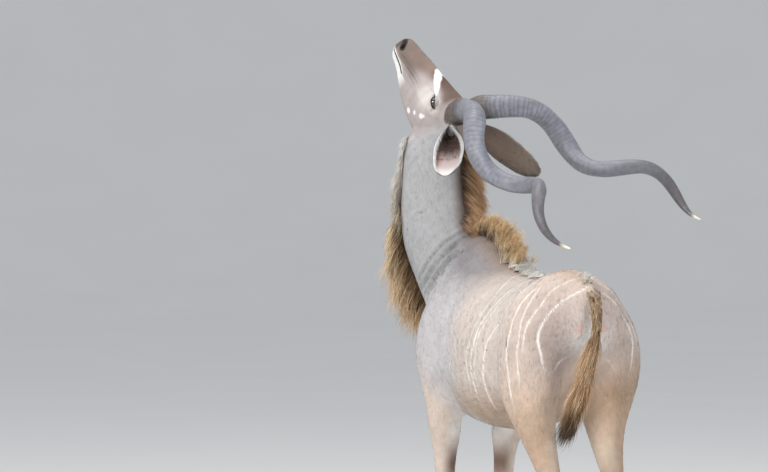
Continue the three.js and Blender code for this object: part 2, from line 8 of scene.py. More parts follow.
import bmesh
import bpy
import numpy as np
from mathutils import Matrix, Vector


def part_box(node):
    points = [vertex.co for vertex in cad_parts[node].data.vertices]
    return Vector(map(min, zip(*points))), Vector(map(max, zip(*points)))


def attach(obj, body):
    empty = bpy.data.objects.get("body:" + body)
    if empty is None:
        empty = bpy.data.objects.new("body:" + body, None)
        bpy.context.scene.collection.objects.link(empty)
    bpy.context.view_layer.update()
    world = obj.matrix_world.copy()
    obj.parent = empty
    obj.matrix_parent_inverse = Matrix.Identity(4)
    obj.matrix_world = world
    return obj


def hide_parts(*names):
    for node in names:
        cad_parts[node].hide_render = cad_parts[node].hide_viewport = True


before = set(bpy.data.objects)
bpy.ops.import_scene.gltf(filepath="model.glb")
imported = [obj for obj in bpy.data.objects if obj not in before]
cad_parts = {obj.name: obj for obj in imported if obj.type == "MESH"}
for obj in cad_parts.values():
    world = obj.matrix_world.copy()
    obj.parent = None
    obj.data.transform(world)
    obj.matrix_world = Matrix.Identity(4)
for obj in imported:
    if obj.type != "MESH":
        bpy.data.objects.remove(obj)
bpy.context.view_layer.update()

MM = 0.001
rng = np.random.default_rng(11)

# Where the animal's own frame stands in the frame of the solids.
claw_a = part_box("hoof_foreleg_left_inner")
claw_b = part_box("hoof_foreleg_right_inner")
OFFSET = np.array([
    (claw_a[0][0] + claw_a[1][0] + claw_b[0][0] + claw_b[1][0]) / 4,
    claw_a[0][1] + 0.650,
    0.0,
])

# Colours, as seen in plain daylight.
NECK_GREY = (160, 160, 161)
SHOULDER = (186, 182, 183)
FLANK = (192, 180, 171)
HAUNCH = (190, 173, 162)
HAUNCH_LOW = (202, 178, 158)
BELLY = (168, 142, 118)
FORELEG = (198, 182, 170)
HINDLEG = (178, 152, 130)
SHANK = (172, 148, 124)
GARTER = (96, 70, 52)
WHITE = (236, 236, 234)
FACE = (132, 112, 102)
MUZZLE = (122, 106, 98)
CHEEK = (166, 156, 153)
PATCH = (88, 66, 54)
DARK = (34, 28, 26)
NAPE_TIP = (206, 168, 130)
NAPE_ROOT = (100, 76, 62)
CREST_TIP = (228, 196, 154)
FRINGE_TIP = (224, 200, 164)
FRINGE_ROOT = (118, 92, 68)
BRUSH_TOP = (186, 150, 112)
BRUSH_END = (58, 44, 36)
STRIPE = (243, 240, 235)
EAR_BACK = (118, 102, 90)
EAR_INSIDE = (176, 160, 156)
EAR_CUP_SHADE = (64, 44, 40)


def linear(colour):
    """A colour as seen, turned into the numbers that light is added up in."""
    c = np.asarray(colour, float) / 255
    return np.where(c <= 0.04045, c / 12.92, ((c + 0.055) / 1.055) ** 2.4)


def tint(colour, count):
    """The same colour for each of a count of points."""
    return np.tile(linear(colour), (count, 1))


def unit(v):
    v = np.asarray(v, float)
    return v / np.maximum(np.linalg.norm(v, axis=-1, keepdims=True), 1e-9)


def dot(a, b):
    return (a * b).sum(-1, keepdims=True)


def smooth(low, high, x):
    """0 below low, 1 above high, and a soft step between."""
    s = np.clip((np.asarray(x, float) - low) / (high - low), 0, 1)
    return s * s * (3 - 2 * s)


def mix(a, b, share):
    share = np.asarray(share)[..., None] if np.ndim(share) < np.ndim(a) else share
    return a + (b - a) * share


def curve(rows, t):
    """The smooth curve through the rows, at shares t of its length."""
    rows = np.asarray(rows, float)
    last = len(rows) - 1
    place = np.clip(np.asarray(t, float), 0, 1) * last
    i = np.minimum(place.astype(int), last - 1)
    f = (place - i)[..., None]
    ends = np.vstack([2 * rows[0] - rows[1], rows, 2 * rows[-1] - rows[-2]])
    before, here, after, beyond = ends[i], ends[i + 1], ends[i + 2], ends[i + 3]
    a, b = (after - before) / 2, (beyond - here) / 2
    cubic = 2 * here - 2 * after + a + b
    square = 3 * after - 3 * here - 2 * a - b
    return ((cubic * f + square) * f + a) * f + here


# The head's own axes: left, dorsal and forward, from the middle of the back of the skull.
HEAD_AT = np.array([27, -594, 1751]) * MM
HEAD_YAW, HEAD_PITCH, HEAD_ROLL = math.radians(44), math.radians(58.1), math.radians(-9.6)


def turned(v, axis, angle):
    """v turned about a unit axis."""
    v, axis = np.asarray(v, float), np.asarray(axis, float)
    across = np.cross(axis, v)
    return v * math.cos(angle) + across * math.sin(angle) + axis * dot(v, axis) * (1 - math.cos(angle))


heading = np.array([math.sin(HEAD_YAW), -math.cos(HEAD_YAW), 0])
HEAD_F = heading * math.cos(HEAD_PITCH) + np.array([0, 0, math.sin(HEAD_PITCH)])
HEAD_L = turned([math.cos(HEAD_YAW), math.sin(HEAD_YAW), 0], HEAD_F, HEAD_ROLL)
HEAD_D = np.cross(HEAD_F, HEAD_L)
HEAD_AXES = np.array([HEAD_L, HEAD_D, HEAD_F])


def from_head(p):
    return HEAD_AT + np.asarray(p, float) @ HEAD_AXES


def to_head(p):
    return (np.asarray(p, float) - HEAD_AT) @ HEAD_AXES.T


def head_way(v):
    return np.asarray(v, float) @ HEAD_AXES


def rings_in_body(rings):
    """Rings of points moved from the head's own axes to the body's."""
    return from_head(rings.reshape(-1, 3)).reshape(rings.shape)


# Stations of the torso: back, height of the widest level, half width, up, down.
TORSO = np.array([
    [-700, 1060, 40, 60, 66],
    [-672, 1060, 98, 150, 150],
    [-600, 1055, 158, 262, 238],
    [-500, 1048, 192, 350, 300],
    [-390, 1040, 208, 384, 322],
    [-260, 1022, 226, 382, 314],
    [-120, 1005, 244, 340, 296],
    [20, 1000, 254, 298, 284],
    [150, 1008, 252, 280, 274],
    [270, 1035, 242, 264, 258],
    [380, 1075, 232, 250, 240],
    [480, 1105, 216, 226, 200],
    [560, 1125, 182, 190, 155],
    [620, 1135, 134, 146, 118],
    [658, 1140, 84, 96, 78],
    [676, 1142, 30, 36, 30],
]) * MM

# Stations of the neck: middle, half width, back half, throat half, and turn to the left in degrees.
NECK = np.array([
    [2, -470, 1090, 142, 215, 215, 0],
    [26, -540, 1190, 144, 205, 200, 7],
    [64, -590, 1300, 130, 180, 182, 19],
    [104, -618, 1410, 106, 160, 168, 32],
    [117, -632, 1510, 95, 147, 150, 39],
    [120, -634, 1610, 91, 138, 140, 43],
    [116, -632, 1700, 87, 128, 133, 44],
    [104, -634, 1762, 80, 110, 126, 44],
    [88, -642, 1812, 64, 74, 104, 44],
    [80, -652, 1846, 30, 30, 56, 44],
]) * MM

# Stations of the head: forward, middle, half width, up, down.
HEAD = np.array([
    [-62, -24, 26, 34, 34],
    [-20, -14, 54, 66, 72],
    [30, -9, 66, 90, 100],
    [75, -12, 74, 112, 122],
    [115, -18, 80, 124, 132],
    [150, -22, 84, 124, 134],
    [185, -25, 82, 118, 130],
    [220, -26, 73, 112, 124],
    [255, -26, 62, 106, 118],
    [290, -24, 53, 99, 110],
    [325, -20, 46, 89, 99],
    [360, -16, 42, 76, 87],
    [395, -14, 42, 63, 75],
    [422, -14, 43, 58, 66],
    [447, -14, 37, 49, 53],
    [464, -14, 17, 23, 25],
]) * MM

# Stations of a left foreleg and hind leg: out from the spread, back, height, half width, back, front.
LEG_SPREAD = 118 * MM
FORELEG_ROWS = np.array([
    [-62, -392, 1330, 26, 46, 46],
    [-24, -420, 1250, 68, 100, 96],
    [8, -456, 1140, 92, 138, 142],
    [22, -488, 1030, 100, 142, 150],
    [24, -502, 935, 96, 130, 124],
    [18, -500, 850, 86, 112, 94],
    [12, -496, 770, 77, 88, 74],
    [7, -500, 690, 68, 68, 60],
    [2, -508, 605, 50, 48, 47],
    [0, -516, 535, 42, 39, 40],
    [0, -522, 490, 41, 37, 42],
    [0, -526, 440, 42, 38, 43],
    [0, -529, 395, 35, 32, 34],
    [0, -532, 335, 25, 29, 23],
    [0, -538, 240, 22, 28, 20],
    [0, -542, 175, 24, 31, 22],
    [0, -545, 138, 30, 38, 28],
    [1, -555, 100, 27, 31, 26],
    [2, -568, 72, 31, 32, 30],
    [2, -574, 56, 33, 34, 33],
]) * MM
HINDLEG_ROWS = np.array([
    [-70, 420, 1300, 24, 44, 44],
    [-24, 428, 1240, 74, 108, 112],
    [8, 440, 1150, 100, 152, 166],
    [22, 446, 1060, 112, 182, 198],
    [28, 438, 970, 114, 190, 196],
    [26, 426, 885, 104, 178, 166],
    [20, 430, 810, 88, 144, 124],
    [12, 462, 740, 70, 106, 90],
    [5, 514, 665, 54, 74, 62],
    [1, 560, 600, 42, 57, 46],
    [0, 588, 550, 38, 52, 46],
    [0, 600, 505, 38, 44, 46],
    [0, 600, 455, 33, 35, 34],
    [0, 594, 385, 26, 30, 26],
    [0, 584, 290, 23, 28, 22],
    [0, 572, 200, 24, 29, 22],
    [0, 563, 150, 31, 39, 29],
    [1, 551, 105, 28, 31, 27],
    [2, 538, 75, 31, 33, 31],
    [2, 531, 56, 33, 34, 33],
]) * MM

# Stations of the tail: middle, half width, half depth.
TAIL = np.array([
    [0, 540, 1258, 30, 26],
    [0, 630, 1274, 29, 25],
    [0, 694, 1236, 25, 22],
    [4, 720, 1150, 20, 18],
    [20, 727, 1060, 18, 16],
    [44, 727, 970, 16, 14],
    [72, 726, 890, 13, 11],
    [92, 724, 840, 7, 6],
]) * MM

UP = np.array([0.0, 0.0, 1.0])
LEFT = np.array([1.0, 0.0, 0.0])
REAR = np.array([0.0, 1.0, 0.0])


class Tube:
    """A body part as a tube through stations, with a centre line, sizes and a frame along its length."""

    def __init__(self, centres, sizes, side=LEFT, top=None, turns=None, pinch=(0, 0)):
        self.centres, self.sizes = centres, sizes
        self.side, self.top, self.turns, self.pinch = side, top, turns, pinch

    def centre(self, t):
        return curve(self.centres, t)

    def tangent(self, t):
        t = np.asarray(t, float)
        return unit(self.centre(np.minimum(t + 0.002, 1)) - self.centre(np.maximum(t - 0.002, 0)))

    def axes(self, t):
        t = np.asarray(t, float)
        side = np.broadcast_to(self.side, t.shape + (3,))
        if self.turns is not None:
            angle = curve(self.turns[:, None], t)[..., 0]
            side = np.stack([np.cos(angle), np.sin(angle), 0 * angle], -1)
        if self.top is None:
            return side, unit(np.cross(self.tangent(t), side))
        return side, np.broadcast_to(self.top, t.shape + (3,))

    def point(self, t, turn, grow=0.0):
        t, turn = np.broadcast_arrays(np.asarray(t, float), np.asarray(turn, float))
        side, top = self.axes(t)
        size = curve(self.sizes, t) + np.asarray(grow)[..., None]
        high = np.sin(turn)
        narrow = 1 - np.where(high > 0, self.pinch[0], self.pinch[1]) * high * high
        reach = np.where(high > 0, size[..., 1], size[..., 2]) * high
        out = side * (size[..., 0] * narrow * np.cos(turn))[..., None] + top * reach[..., None]
        return self.centre(t) + out

    def grid(self, steps, sides, grow=0.0, start=0.0, end=1.0):
        t = np.linspace(start, end, steps + 1)[:, None]
        turn = np.linspace(0, 2 * math.pi, sides, endpoint=False)[None, :]
        return self.point(t, turn, grow)

    def nearest(self, p, samples=90):
        """Share of the length, turn and share of the way out to the surface, of each point."""
        t = np.linspace(0, 1, samples)
        middle = self.centre(t)
        size = np.maximum(curve(self.sizes, t).mean(-1), 0.02)
        share, turn, out = [np.empty(len(p)) for _ in range(3)]
        for start in range(0, len(p), 20000):
            part = p[start:start + 20000]
            away = np.linalg.norm(part[:, None] - middle[None], axis=-1) / size[None]
            best = away.argmin(1)
            low, high = np.maximum(best - 1, 0), np.minimum(best + 1, samples - 1)
            a, b = middle[low], middle[high]
            f = np.clip(dot(part - a, b - a) / np.maximum(dot(b - a, b - a), 1e-12), 0, 1)[:, 0]
            at = t[low] + (t[high] - t[low]) * f
            side, top = self.axes(at)
            from_middle = part - self.centre(at)
            share[start:start + 20000] = at
            turn[start:start + 20000] = np.arctan2(dot(from_middle, top), dot(from_middle, side))[:, 0]
            out[start:start + 20000] = away.min(1)
        return share, turn, out


def leg(rows, side):
    centres = np.stack([side * (LEG_SPREAD + rows[:, 0]), rows[:, 1], rows[:, 2]], 1)
    return Tube(centres, rows[:, 3:6], top=REAR)


torso = Tube(
    np.stack([0 * TORSO[:, 0], TORSO[:, 0], TORSO[:, 1]], 1), TORSO[:, 2:5], top=UP, pinch=(0.2, 0)
)
neck = Tube(NECK[:, :3], NECK[:, 3:6], turns=np.radians(NECK[:, 6] / MM))
head_middle = np.stack([0 * HEAD[:, 0], HEAD[:, 1], HEAD[:, 0]], 1)
head = Tube(from_head(head_middle), HEAD[:, 2:5], side=HEAD_L, top=HEAD_D, pinch=(0.24, 0.42))
tail = Tube(TAIL[:, :3], TAIL[:, [3, 4, 4]])
legs = {
    "foreleg_left": leg(FORELEG_ROWS, 1),
    "foreleg_right": leg(FORELEG_ROWS, -1),
    "hindleg_left": leg(HINDLEG_ROWS, 1),
    "hindleg_right": leg(HINDLEG_ROWS, -1),
}
parts = {"torso": torso, "neck": neck, "head": head, "tail": tail, **legs}

# Each body part's place on the unwrap: low corner and size.
UNWRAP = {
    "torso": (0.01, 0.01, 0.48, 0.46),
    "neck": (0.50, 0.01, 0.28, 0.46),
    "tail": (0.80, 0.01, 0.05, 0.46),
    "ear_left": (0.87, 0.01, 0.11, 0.22),
    "ear_right": (0.87, 0.25, 0.11, 0.22),
    "foreleg_left": (0.01, 0.50, 0.11, 0.48),
    "foreleg_right": (0.13, 0.50, 0.11, 0.48),
    "hindleg_left": (0.25, 0.50, 0.11, 0.48),
    "hindleg_right": (0.37, 0.50, 0.11, 0.48),
    "head": (0.50, 0.50, 0.48, 0.48),
}
PART_NAMES = list(parts)


def closed_rings(rings):
    """Points and faces of a closed surface through rings of points."""
    rows, sides = rings.shape[:2]
    points = np.vstack([rings.reshape(-1, 3), rings[0].mean(0), rings[-1].mean(0)])
    index = np.arange(rows * sides).reshape(rows, sides)
    after = np.roll(index, -1, axis=1)
    faces = np.stack([index[:-1], after[:-1], after[1:], index[1:]], -1).reshape(-1, 4)
    first, last = rows * sides, rows * sides + 1
    caps = [(first, after[0, k], index[0, k]) for k in range(sides)]
    caps += [(last, index[-1, k], after[-1, k]) for k in range(sides)]
    return points, [tuple(f) for f in faces] + caps


def new_object(name, points, faces):
    mesh = bpy.data.meshes.new(name)
    mesh.from_pydata([tuple(p) for p in points], [], [tuple(int(i) for i in f) for f in faces])
    mesh.update()
    obj = bpy.data.objects.new(name, mesh)
    bpy.context.scene.collection.objects.link(obj)
    return obj


def closed_shells(name, shells):
    """One object of closed surfaces that face outwards, each through its own rings of points."""
    all_points, all_faces, start = [], [], 0
    for rings in shells:
        points, faces = closed_rings(rings)
        all_points.append(points)
        all_faces += [tuple(i + start for i in f) for f in faces]
        start += len(points)
    obj = new_object(name, np.vstack(all_points), all_faces)
    bm = bmesh.new()
    bm.from_mesh(obj.data)
    bmesh.ops.recalc_face_normals(bm, faces=bm.faces)
    bm.to_mesh(obj.data)
    bm.free()
    return obj


def new_triangles(name, points, triangles):
    """A mesh object made of many triangles, set straight into its arrays."""
    mesh = bpy.data.meshes.new(name)
    mesh.vertices.add(len(points))
    mesh.vertices.foreach_set("co", np.ascontiguousarray(points, np.float32).ravel())
    mesh.loops.add(triangles.size)
    mesh.loops.foreach_set("vertex_index", np.ascontiguousarray(triangles, np.int32).ravel())
    mesh.polygons.add(len(triangles))
    mesh.polygons.foreach_set("loop_start", np.arange(0, triangles.size, 3, dtype=np.int32))
    mesh.update(calc_edges=True)
    obj = bpy.data.objects.new(name, mesh)
    bpy.context.scene.collection.objects.link(obj)
    return obj


def points_of(mesh):
    co = np.empty(len(mesh.vertices) * 3, np.float32)
    mesh.vertices.foreach_get("co", co)
    return co.reshape(-1, 3).astype(float)


def set_points(mesh, points):
    mesh.vertices.foreach_set("co", np.ascontiguousarray(points, np.float32).ravel())
    mesh.update()


def normals_of(mesh):
    n = np.empty(len(mesh.vertices) * 3, np.float32)
    mesh.vertex_normals.foreach_get("vector", n)
    return n.reshape(-1, 3).astype(float)


def paint(mesh, name, colours):
    """A colour for each vertex, already in linear numbers."""
    layer = mesh.color_attributes.new(name, "FLOAT_COLOR", "POINT")
    rgba = np.ones((len(colours), 4), np.float32)
    rgba[:, :3] = colours
    layer.data.foreach_set("color", rgba.ravel())


def mark(mesh, name, values):
    layer = mesh.attributes.new(name, "FLOAT", "POINT")
    layer.data.foreach_set("value", np.ascontiguousarray(values, np.float32))


def shade_smooth(mesh):
    mesh.polygons.foreach_set("use_smooth", np.ones(len(mesh.polygons), bool))
    mesh.update()


# Which way each ear points and opens, in the head's axes, and its length.
EARS = {
    "left": ((0.77, 0.08, -0.585), (0.48, 0.49, 0.69), 276 * MM),
    "right": ((-0.391, 0.299, -0.87), (-0.9, -0.05, 0.39), 318 * MM),
}
# The middle of the left ear's root, in the head's axes.
EAR_AT = np.array([66, 40, 52]) * MM


def tube_along(path, radius, sides=8):
    """Rings of a thin tube along a path."""
    along = unit(np.gradient(path, axis=0))
    first = unit(np.cross(along, np.array([0.31, 0.52, 0.79])))
    second = np.cross(along, first)
    turn = np.linspace(0, 2 * math.pi, sides, endpoint=False)
    reach = np.asarray(radius)[:, None, None]
    return path[:, None] + reach * (
        first[:, None] * np.cos(turn)[None, :, None] + second[:, None] * np.sin(turn)[None, :, None]
    )


# The skin: all the tubes as one body, made one surface, then softened where they run together.

VOXEL = 0.0074


def coat_depth(name, rows):
    """How far the skin lies under the coat's tips along a part: thick on the body, thin low down."""
    t = np.linspace(0, 1, rows + 1)[:, None]
    if "leg" in name:
        return -(6 - 4 * smooth(0.3, 0.62, t)) * MM
    if name == "head":
        return -2.5 * MM + 0 * t
    if name == "tail":
        return -5 * MM + 0 * t
    return -6 * MM + 0 * t


def swell(p, middle, reach, shift):
    """Points near a middle move along a shift."""
    share = np.exp(-((p - np.asarray(middle)) ** 2).sum(-1) / reach**2)
    return p + share[:, None] * np.asarray(shift)


def patch(p, middle, reach):
    """A soft patch: 1 in its middle, fading out over a reach along each axis."""
    return np.exp(-(((p - middle) / reach) ** 2).sum(-1))


def head_swells(q):
    """The brows, lids, cheeks and nostrils of the head, in its own axes."""
    for side in (1, -1):
        q = swell(q, np.array([side * 74, 44, 166]) * MM, 36 * MM, np.array([side * 11, 3, 0]) * MM)
        q = swell(q, np.array([side * 80, 4, 176]) * MM, 26 * MM, np.array([side * 3, 0, 0]) * MM)
        q = swell(q, np.array([side * 78, -60, 130]) * MM, 60 * MM, np.array([side * 8, 0, 0]) * MM)
        q = swell(q, np.array([side * 44, 42, 424]) * MM, 17 * MM, np.array([side * 4, 3, 0]) * MM)
        q = swell(q, np.array([side * 55, -8, 290]) * MM, 45 * MM, np.array([side * -5, 0, 0]) * MM)
    return q


def stubs():
    """The skin's own stubs at the roots of the horns and ears, as short tubes with round ends."""
    made = []
    t = np.linspace(0, 1, 12)
    knots = [0, 0.5, 0.85, 1]
    for side in (1, -1):
        flip = np.array([side, 1, 1])
        horn = curve(np.array([(22, 20, 86), (40, 58, 89), (56, 90, 91), (67, 112, 92)]) * MM, t)
        made.append((horn * flip, np.interp(t, knots, [40, 38, 33, 20]) * MM))
        along = np.array(EARS["left" if side > 0 else "right"][0])
        ear = EAR_AT * flip + unit(along) * np.linspace(-34, 26, 12)[:, None] * MM
        made.append((ear, np.interp(t, knots, [26, 27, 24, 14]) * MM))
    return made


def base_skin():
    """The body as one surface with even faces."""
    shells = [rings_in_body(tube_along(path, radius, 28)) for path, radius in stubs()]
    sizes = {"torso": (90, 96), "neck": (70, 80), "head": (90, 90), "tail": (60, 28)}
    for name, tube in parts.items():
        steps, sides = sizes.get(name, (110, 48))
        rings = tube.grid(steps, sides, coat_depth(name, steps))
        if name == "head":
            rings = from_head(head_swells(to_head(rings.reshape(-1, 3)))).reshape(rings.shape)
        shells.append(rings)
    raw = closed_shells("raw_body", shells)
    remesh = raw.modifiers.new("one_surface", "REMESH")
    remesh.mode = "VOXEL"
    remesh.voxel_size = VOXEL
    remesh.use_smooth_shade = True
    graph = bpy.context.evaluated_depsgraph_get()
    mesh = bpy.data.meshes.new_from_object(raw.evaluated_get(graph))
    bpy.data.objects.remove(raw)
    obj = bpy.data.objects.new("skin", mesh)
    bpy.context.scene.collection.objects.link(obj)
    return obj


def soften(points, edges, rounds, weight):
    """Each point moves towards the middle of its neighbours, by its own weight, round after round."""
    a, b = edges[:, 0], edges[:, 1]
    count = np.maximum(np.bincount(a, minlength=len(points)) + np.bincount(b, minlength=len(points)), 1)
    for i in range(rounds):
        total = np.empty_like(points)
        for k in range(3):
            total[:, k] = np.bincount(a, points[b, k], len(points))
            total[:, k] += np.bincount(b, points[a, k], len(points))
        share = np.clip(weight - i, 0, 1)[:, None] * 0.6
        points = points + (total / count[:, None] - points) * share
    return points


def edges_of(mesh):
    e = np.empty(len(mesh.edges) * 2, np.int32)
    mesh.edges.foreach_get("vertices", e)
    return e.reshape(-1, 2)


def rounds_wanted(p):
    """How many rounds of softening the skin takes at each place."""
    q = to_head(p)
    on_body = smooth(0.62, 0.85, p[:, 2]) * smooth(1.95, 1.5, p[:, 2])
    rounds = 3 + 60 * on_body
    # Where the haunches and shoulders meet the trunk the creases are deepest.
    rounds += 40 * on_body * smooth(-0.75, -0.6, p[:, 1]) * smooth(1.35, 1.2, p[:, 2])
    # The face keeps its form, and the angle behind the jaw is only rounded.
    face = smooth(0.03, 0.09, q[:, 2]) * smooth(0.16, 0.12, np.abs(q[:, 0])) * smooth(-0.17, -0.12, q[:, 1])
    rounds = mix(rounds, 3.0, face)
    behind = np.exp(-((q - np.array([0, -0.02, -0.02])) ** 2).sum(-1) / 0.13**2) * (1 - face)
    rounds = mix(rounds, 40.0, behind)
    on_tail = smooth(0.69, 0.71, p[:, 1]) * smooth(1.26, 1.2, p[:, 2])
    on_tail *= (p[:, 2] > 0.8) * (np.abs(p[:, 0]) < 0.08)
    return mix(rounds, 4.0, on_tail)


def subdivide_near(mesh, wanted):
    """Splits the faces whose vertices are all wanted."""
    bm = bmesh.new()
    bm.from_mesh(mesh)
    bm.verts.ensure_lookup_table()
    edges = [e for e in bm.edges if wanted[e.verts[0].index] and wanted[e.verts[1].index]]
    bmesh.ops.subdivide_edges(bm, edges=edges, cuts=1, use_grid_fill=True, smooth=0.6)
    bmesh.ops.triangulate(bm, faces=[f for f in bm.faces if len(f.verts) > 4])
    bm.to_mesh(mesh)
    bm.free()


EYE_AT = np.array([66, 28, 172]) * MM
EYE_RADIUS = 21 * MM
EYE_AXIS = unit(np.array([0.905, 0.385, 0.18]))
EYE_ALONG = unit(np.array([-0.33, 0.38, 0.86]))
EYE_OVER = unit(np.cross(EYE_ALONG, EYE_AXIS))
if EYE_OVER[1] < 0:
    EYE_OVER = -EYE_OVER
LID_LONG, LID_HIGH = math.radians(68), math.radians(19)


def on_left(q):
    """The head mirrored so that both sides can be shaped as the left one."""
    return q * np.where(q[:, :1] < 0, [-1, 1, 1], [1, 1, 1]), np.where(q[:, :1] < 0, [-1, 1, 1], [1, 1, 1])


def lid_place(q):
    """How far out from the opening between the lids a point is, 1 on its edge, and its distance."""
    v = q - EYE_AT
    far = np.linalg.norm(v, axis=1)
    v = unit(v)
    along = np.arcsin(np.clip(v @ EYE_ALONG, -1, 1)) / LID_LONG
    over = np.arcsin(np.clip(v @ EYE_OVER, -1, 1)) / LID_HIGH
    over = np.where(over < 0, over * 1.15, over)
    # The opening is an almond: its corners are drawn out to points.
    narrow = np.sqrt(np.clip(1 - np.abs(along), 0, 1)) * 0.25 + 0.75
    q_out = np.sqrt(along**2 + (over / narrow) ** 2)
    front = v @ EYE_AXIS
    return np.where(front > 0.1, q_out, 9.0), far, v


def shape_lids(q):
    ring, far, v = lid_place(q)
    near = (far < 42 * MM) & (ring < 8)
    lid = EYE_RADIUS + 2.2 * MM
    sunk = EYE_RADIUS * 0.62
    reach = np.where(ring < 1, sunk + (lid - sunk) * smooth(0.86, 0.99, ring), far)
    outer = smooth(1.0, 2.5, ring)
    fold = 1.2 * MM * np.exp(-((ring - 1.25) / 0.16) ** 2) - 1.3 * MM * np.exp(-((ring - 1.6) / 0.14) ** 2)
    fold += 0.8 * MM * np.exp(-((ring - 1.95) / 0.2) ** 2)
    outside = lid + (far - lid) * outer + fold * (1 - smooth(2.2, 3.0, ring))
    # The lids always lie over the eyeball, also where the face falls away from it.
    cover = EYE_RADIUS + (1.9 + 0.5 * smooth(2.2, 1.2, ring)) * MM
    outside = np.where(v @ EYE_AXIS > 0.0, np.maximum(outside, cover), outside)
    reach = np.where(ring >= 1, outside, reach)
    return np.where(near[:, None], EYE_AT + v * reach[:, None], q)


def away_from(p, line):
    """Distance from each point to a line through points, and the share of its length there."""
    line = np.asarray(line, float)
    best = np.full(len(p), 9.0)
    share = np.zeros(len(p))
    for i in range(len(line) - 1):
        a, b = line[i], line[i + 1]
        f = np.clip(((p - a) @ (b - a)) / ((b - a) @ (b - a)), 0, 1)
        d = np.linalg.norm(p - a - f[:, None] * (b - a), axis=1)
        share = np.where(d < best, (i + f) / (len(line) - 1), share)
        best = np.minimum(best, d)
    return best, share


NOSTRIL = curve(np.array([[14, 20, 464], [24, 23, 457], [33, 21, 447], [37, 13, 437], [36, 4, 430]]) * MM,
                np.linspace(0, 1, 13))
MOUTH = curve(np.array([[0, -35, 470], [22, -34, 456], [38, -38, 424], [41, -45, 390], [37, -57, 356]]) * MM,
              np.linspace(0, 1, 17))
JAW = curve(np.array([[70, -70, 60], [72, -108, 110], [60, -118, 170], [44, -112, 240]]) * MM,
            np.linspace(0, 1, 13))
CHEEK_BONE = curve(np.array([[80, 6, 120], [80, -6, 180], [66, -16, 230], [50, -14, 290]]) * MM,
                   np.linspace(0, 1, 13))


def laid_on(line, q):
    """A line of the face, each of its points moved to the nearest point of the skin."""
    near = [q[np.argmin(((q - at) ** 2).sum(1))] for at in line]
    return curve(np.array(near), np.linspace(0, 1, 3 * len(line)))


def face_form(q, n):
    """The finer forms of the face: nostrils, lips, chin, cheeks, veins and folds."""
    left, flip = on_left(q)
    n = n * flip
    nostril, along = away_from(left, NOSTRIL)
    open_wide = np.interp(along, [0, 0.35, 0.7, 1], [4.0, 8.6, 8.0, 3.5]) * MM
    left = left - n * (15 * MM * np.exp(-(nostril / open_wide) ** 2))[:, None]
    rim = np.exp(-((nostril - 1.55 * open_wide) / (3.6 * MM)) ** 2)
    left = left + n * (2.6 * MM * rim)[:, None]
    mouth, along = away_from(left, MOUTH)
    left = left - n * (4.6 * MM * np.exp(-(mouth / (2.6 * MM)) ** 2))[:, None]
    left = left + n * (1.8 * MM * np.exp(-((mouth - 6.5 * MM) / (3.6 * MM)) ** 2))[:, None]
    jaw, _ = away_from(left, JAW)
    left = left + n * (4.0 * MM * np.exp(-(jaw / (15 * MM)) ** 2))[:, None]
    bone, _ = away_from(left, CHEEK_BONE)
    left = left + n * (3.2 * MM * np.exp(-(bone / (12 * MM)) ** 2))[:, None]
    left = swell(left, np.array([50, -45, 215]) * MM, 34 * MM, np.array([-5, 0, 0]) * MM)
    left = swell(left, np.array([60, 44, 226]) * MM, 17 * MM, np.array([-4.5, -2, 0]) * MM)
    left = swell(left, np.array([80, 20, 60]) * MM, 24 * MM, np.array([-4, 0, 0]) * MM)
    left = swell(left, np.array([0, -70, 440]) * MM, 22 * MM, np.array([0, -4, 2]) * MM)
    left = swell(left, np.array([0, 60, 400]) * MM, 30 * MM, np.array([0, 2.5, 0]) * MM)
    return left * flip


# Broad forms of the body, set as middle, reach along each axis and height, in millimetres.
# Each is made on both sides unless its last value is 1 or -1.
BODY_FORMS = [
    [(188, -330, 1240), (60, 46, 120), 9, 0],
    [(200, -395, 1130), (60, 60, 90), 8, 0],
    [(190, -250, 1100), (80, 40, 150), -9, 0],
    [(180, -420, 930), (70, 60, 80), 9, 0],
    [(150, -330, 850), (60, 42, 50), -8, 0],
    [(232, 250, 1140), (60, 66, 60), -15, 0],
    [(196, 350, 1240), (44, 40, 34), 13, 0],
    [(120, 560, 1252), (44, 50, 34), 6, 0],
    [(110, 650, 1150), (36, 34, 44), 7, 0],
    [(200, 470, 1080), (60, 90, 100), 7, 0],
    [(214, 330, 930), (50, 44, 120), -7, 0],
    [(180, 610, 960), (60, 40, 130), -6, 0],
    [(196, 300, 800), (60, 40, 60), 7, 0],
    [(150, 180, 760), (80, 60, 44), -7, 0],
    [(0, 690, 1130), (26, 40, 80), -16, 0],
    [(0, 660, 930), (22, 70, 90), -12, 0],
    [(60, -650, 960), (60, 60, 80), 10, 0],
    [(0, -700, 940), (26, 50, 110), -8, 0],
    [(118, -566, 455), (40, 30, 34), 5, 0],
    [(118, -520, 420), (46, 24, 26), 4, 0],
    [(118, 640, 560), (24, 24, 30), 7, 0],
    [(118, 560, 540), (40, 24, 40), 4, 0],
    [(96, 590, 490), (22, 24, 24), 4, 0],
    [(140, 590, 490), (22, 24, 24), 4, 0],
    [(118, 640, 640), (14, 26, 60), -6, 0],
]


def body_form(p, n):
    for middle, reach, height, which in BODY_FORMS:
        for side in (1, -1) if middle[0] else (1,):
            if which and side != which:
                continue
            at = np.array([middle[0] * side, middle[1], middle[2]]) * MM
            share = patch(p, at, np.array(reach) * MM)
            p = p + n * (share * height * MM)[:, None]
    return p


